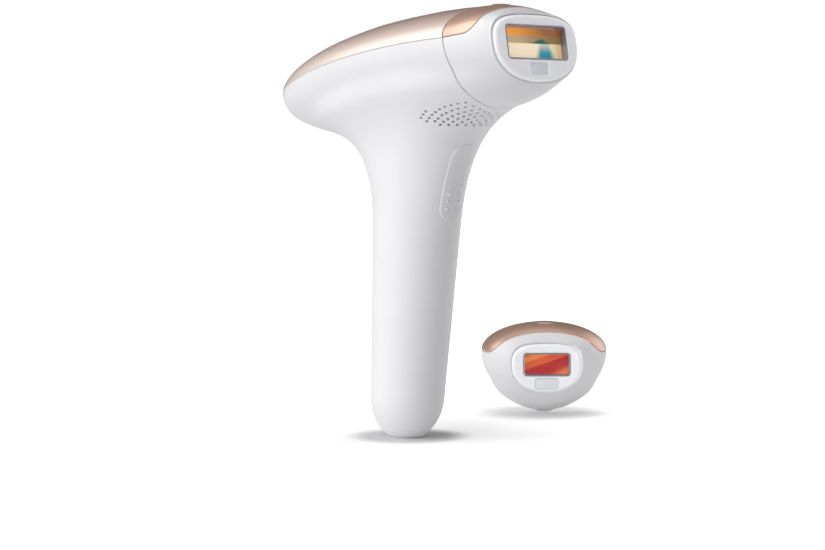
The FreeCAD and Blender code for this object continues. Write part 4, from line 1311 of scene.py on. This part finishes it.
def view_directions():
    """Level directions towards the camera and to its right."""
    turn = radians(VIEW_AZIMUTH)
    return Vector((-sin(turn), -cos(turn), 0.0)), Vector((cos(turn), -sin(turn), 0.0))


def aimed(name, data, place, along):
    """A camera or a lamp that looks along a direction."""
    made = bpy.data.objects.new(name, data)
    bpy.context.scene.collection.objects.link(made)
    made.location = place
    made.rotation_mode = "QUATERNION"
    made.rotation_quaternion = along.to_track_quat("-Z", "Y")
    return made


def make_camera():
    away, right = view_directions()
    data = bpy.data.cameras.new("camera")
    data.sensor_width = SENSOR
    data.lens = SENSOR * FOCAL
    data.clip_start = 0.05
    place = away * VIEW_DISTANCE + Vector((0, 0, VIEW_HEIGHT))
    aim = -away + right * AIM_RIGHT - Vector((0, 0, AIM_DOWN))
    bpy.context.scene.camera = aimed("camera", data, place, aim)


def make_fill():
    """Soft light on the front of the loose attachment."""
    towards_camera, right = view_directions()
    target = Vector((PRECISION_X, PRECISION_Y, FILL_AIM_Z)) * MM
    data = bpy.data.lights.new("fill", "SPOT")
    data.energy = FILL_POWER
    data.spot_size = radians(FILL_CONE)
    data.spot_blend = 1.0
    data.shadow_soft_size = FILL_SOFTNESS
    place = target + towards_camera * FILL_FORWARD + right * FILL_RIGHT + Vector((0, 0, FILL_UP))
    aimed("fill", data, place, target - place).visible_camera = False


def make_world():
    """Soft room, brightest on the device's left and behind its right side. The camera itself
    sees plain white."""
    world = bpy.data.worlds.new("studio")
    bpy.context.scene.world = world
    world.use_nodes = True
    wiring = Wiring(world.node_tree)
    wiring.tree.nodes.clear()
    place = wiring.node("ShaderNodeTexCoord").outputs["Generated"]
    total = ROOM_BASE
    for azimuth, elevation, narrow, wide, strength in ROOM_LOBES:
        dot = wiring.tree.nodes.new("ShaderNodeVectorMath")
        dot.operation = "DOT_PRODUCT"
        wiring.feed(dot.inputs[0], place)
        wiring.feed(dot.inputs[1], direction(azimuth, elevation))
        lobe = wiring.span(dot.outputs["Value"], cos(radians(wide)), cos(radians(narrow)), 0.0,
                           strength)
        total = wiring.maths("ADD", lobe, total)
    room = wiring.node("ShaderNodeBackground", Color=ROOM_TINT, Strength=total)
    plain = wiring.node("ShaderNodeBackground", Color=(1, 1, 1, 1), Strength=BACKDROP_STRENGTH)
    mixed = wiring.node("ShaderNodeMixShader")
    seen = wiring.node("ShaderNodeLightPath").outputs["Is Camera Ray"]
    for index, part in enumerate((seen, room.outputs[0], plain.outputs[0])):
        wiring.feed(mixed.inputs[index], part)
    wiring.node("ShaderNodeOutputWorld", Surface=mixed.outputs[0])


def make_stage():
    x, z = FLOOR_SIZE, -FLOOR_DROP
    mesh = bpy.data.meshes.new("floor")
    mesh.from_pydata([(-x, -x, z), (x, -x, z), (x, x, z), (-x, x, z)], [], [(0, 1, 2, 3)])
    floor = bpy.data.objects.new("floor", mesh)
    bpy.context.scene.collection.objects.link(floor)
    look = Look("pale_floor")
    look.put(Base_Color=look.mix(look.noise(6.0), (0.63, 0.63, 0.63), (0.61, 0.61, 0.61)), Roughness=0.6)
    beside = Vector((PRECISION_X, PRECISION_Y, 0.0)) * MM
    from_foot = look.distance(Vector((0.0, 0.0, 0.0)))
    # painted shadows: the floor's glow is held back round the foot and round the loose attachment's
    # resting place
    near = look.maths("MULTIPLY", look.span(from_foot, *FOOT_DIM),
                      look.span(look.distance(beside), *LOOSE_DIM))
    shown = look.maths("ADD", look.maths("MULTIPLY", near, NEAR_GLOW),
                       look.span(from_foot, *FAR_RANGE, 0.0, FAR_GLOW))
    seen = look.node("ShaderNodeLightPath").outputs["Is Camera Ray"]
    glow = look.maths("ADD", look.maths("MULTIPLY", shown, seen),
                      look.span(seen, 0.0, 1.0, UNSEEN_GLOW, 0.0, smooth=False))
    look.put(Emission_Color=(1, 1, 1, 1), Emission_Strength=glow)
    mesh.materials.append(look.material)
    make_world()
    bpy.context.scene.view_settings.view_transform = "Standard"


def main():
    looks = make_looks()
    make_housing(looks["white"])
    make_cover(looks["gold"])
    make_keys(looks["key"])
    shared = {"shell": looks["white"], "shell_slot": "white_shell", "trim": looks["copper"],
              "trim_slot": "copper_trim", "bezel": looks["bezel"], "frame": looks["steel"],
              "lens": looks["lens"]}
    make_attachment("attachment", "attachment", "contact_bezel", BODY_FACE, head_to_world,
                    {**shared, "glass": looks["amber"], "glass_slot": "amber_filter"})
    make_attachment("precision", "precision", "precision_contact_bezel", PRECISION_FACE, head_to_floor,
                    {**shared, "glass": looks["red"], "glass_slot": "red_filter"})
    dress_inner_nodes()
    make_camera()
    make_fill()
    make_stage()


main()
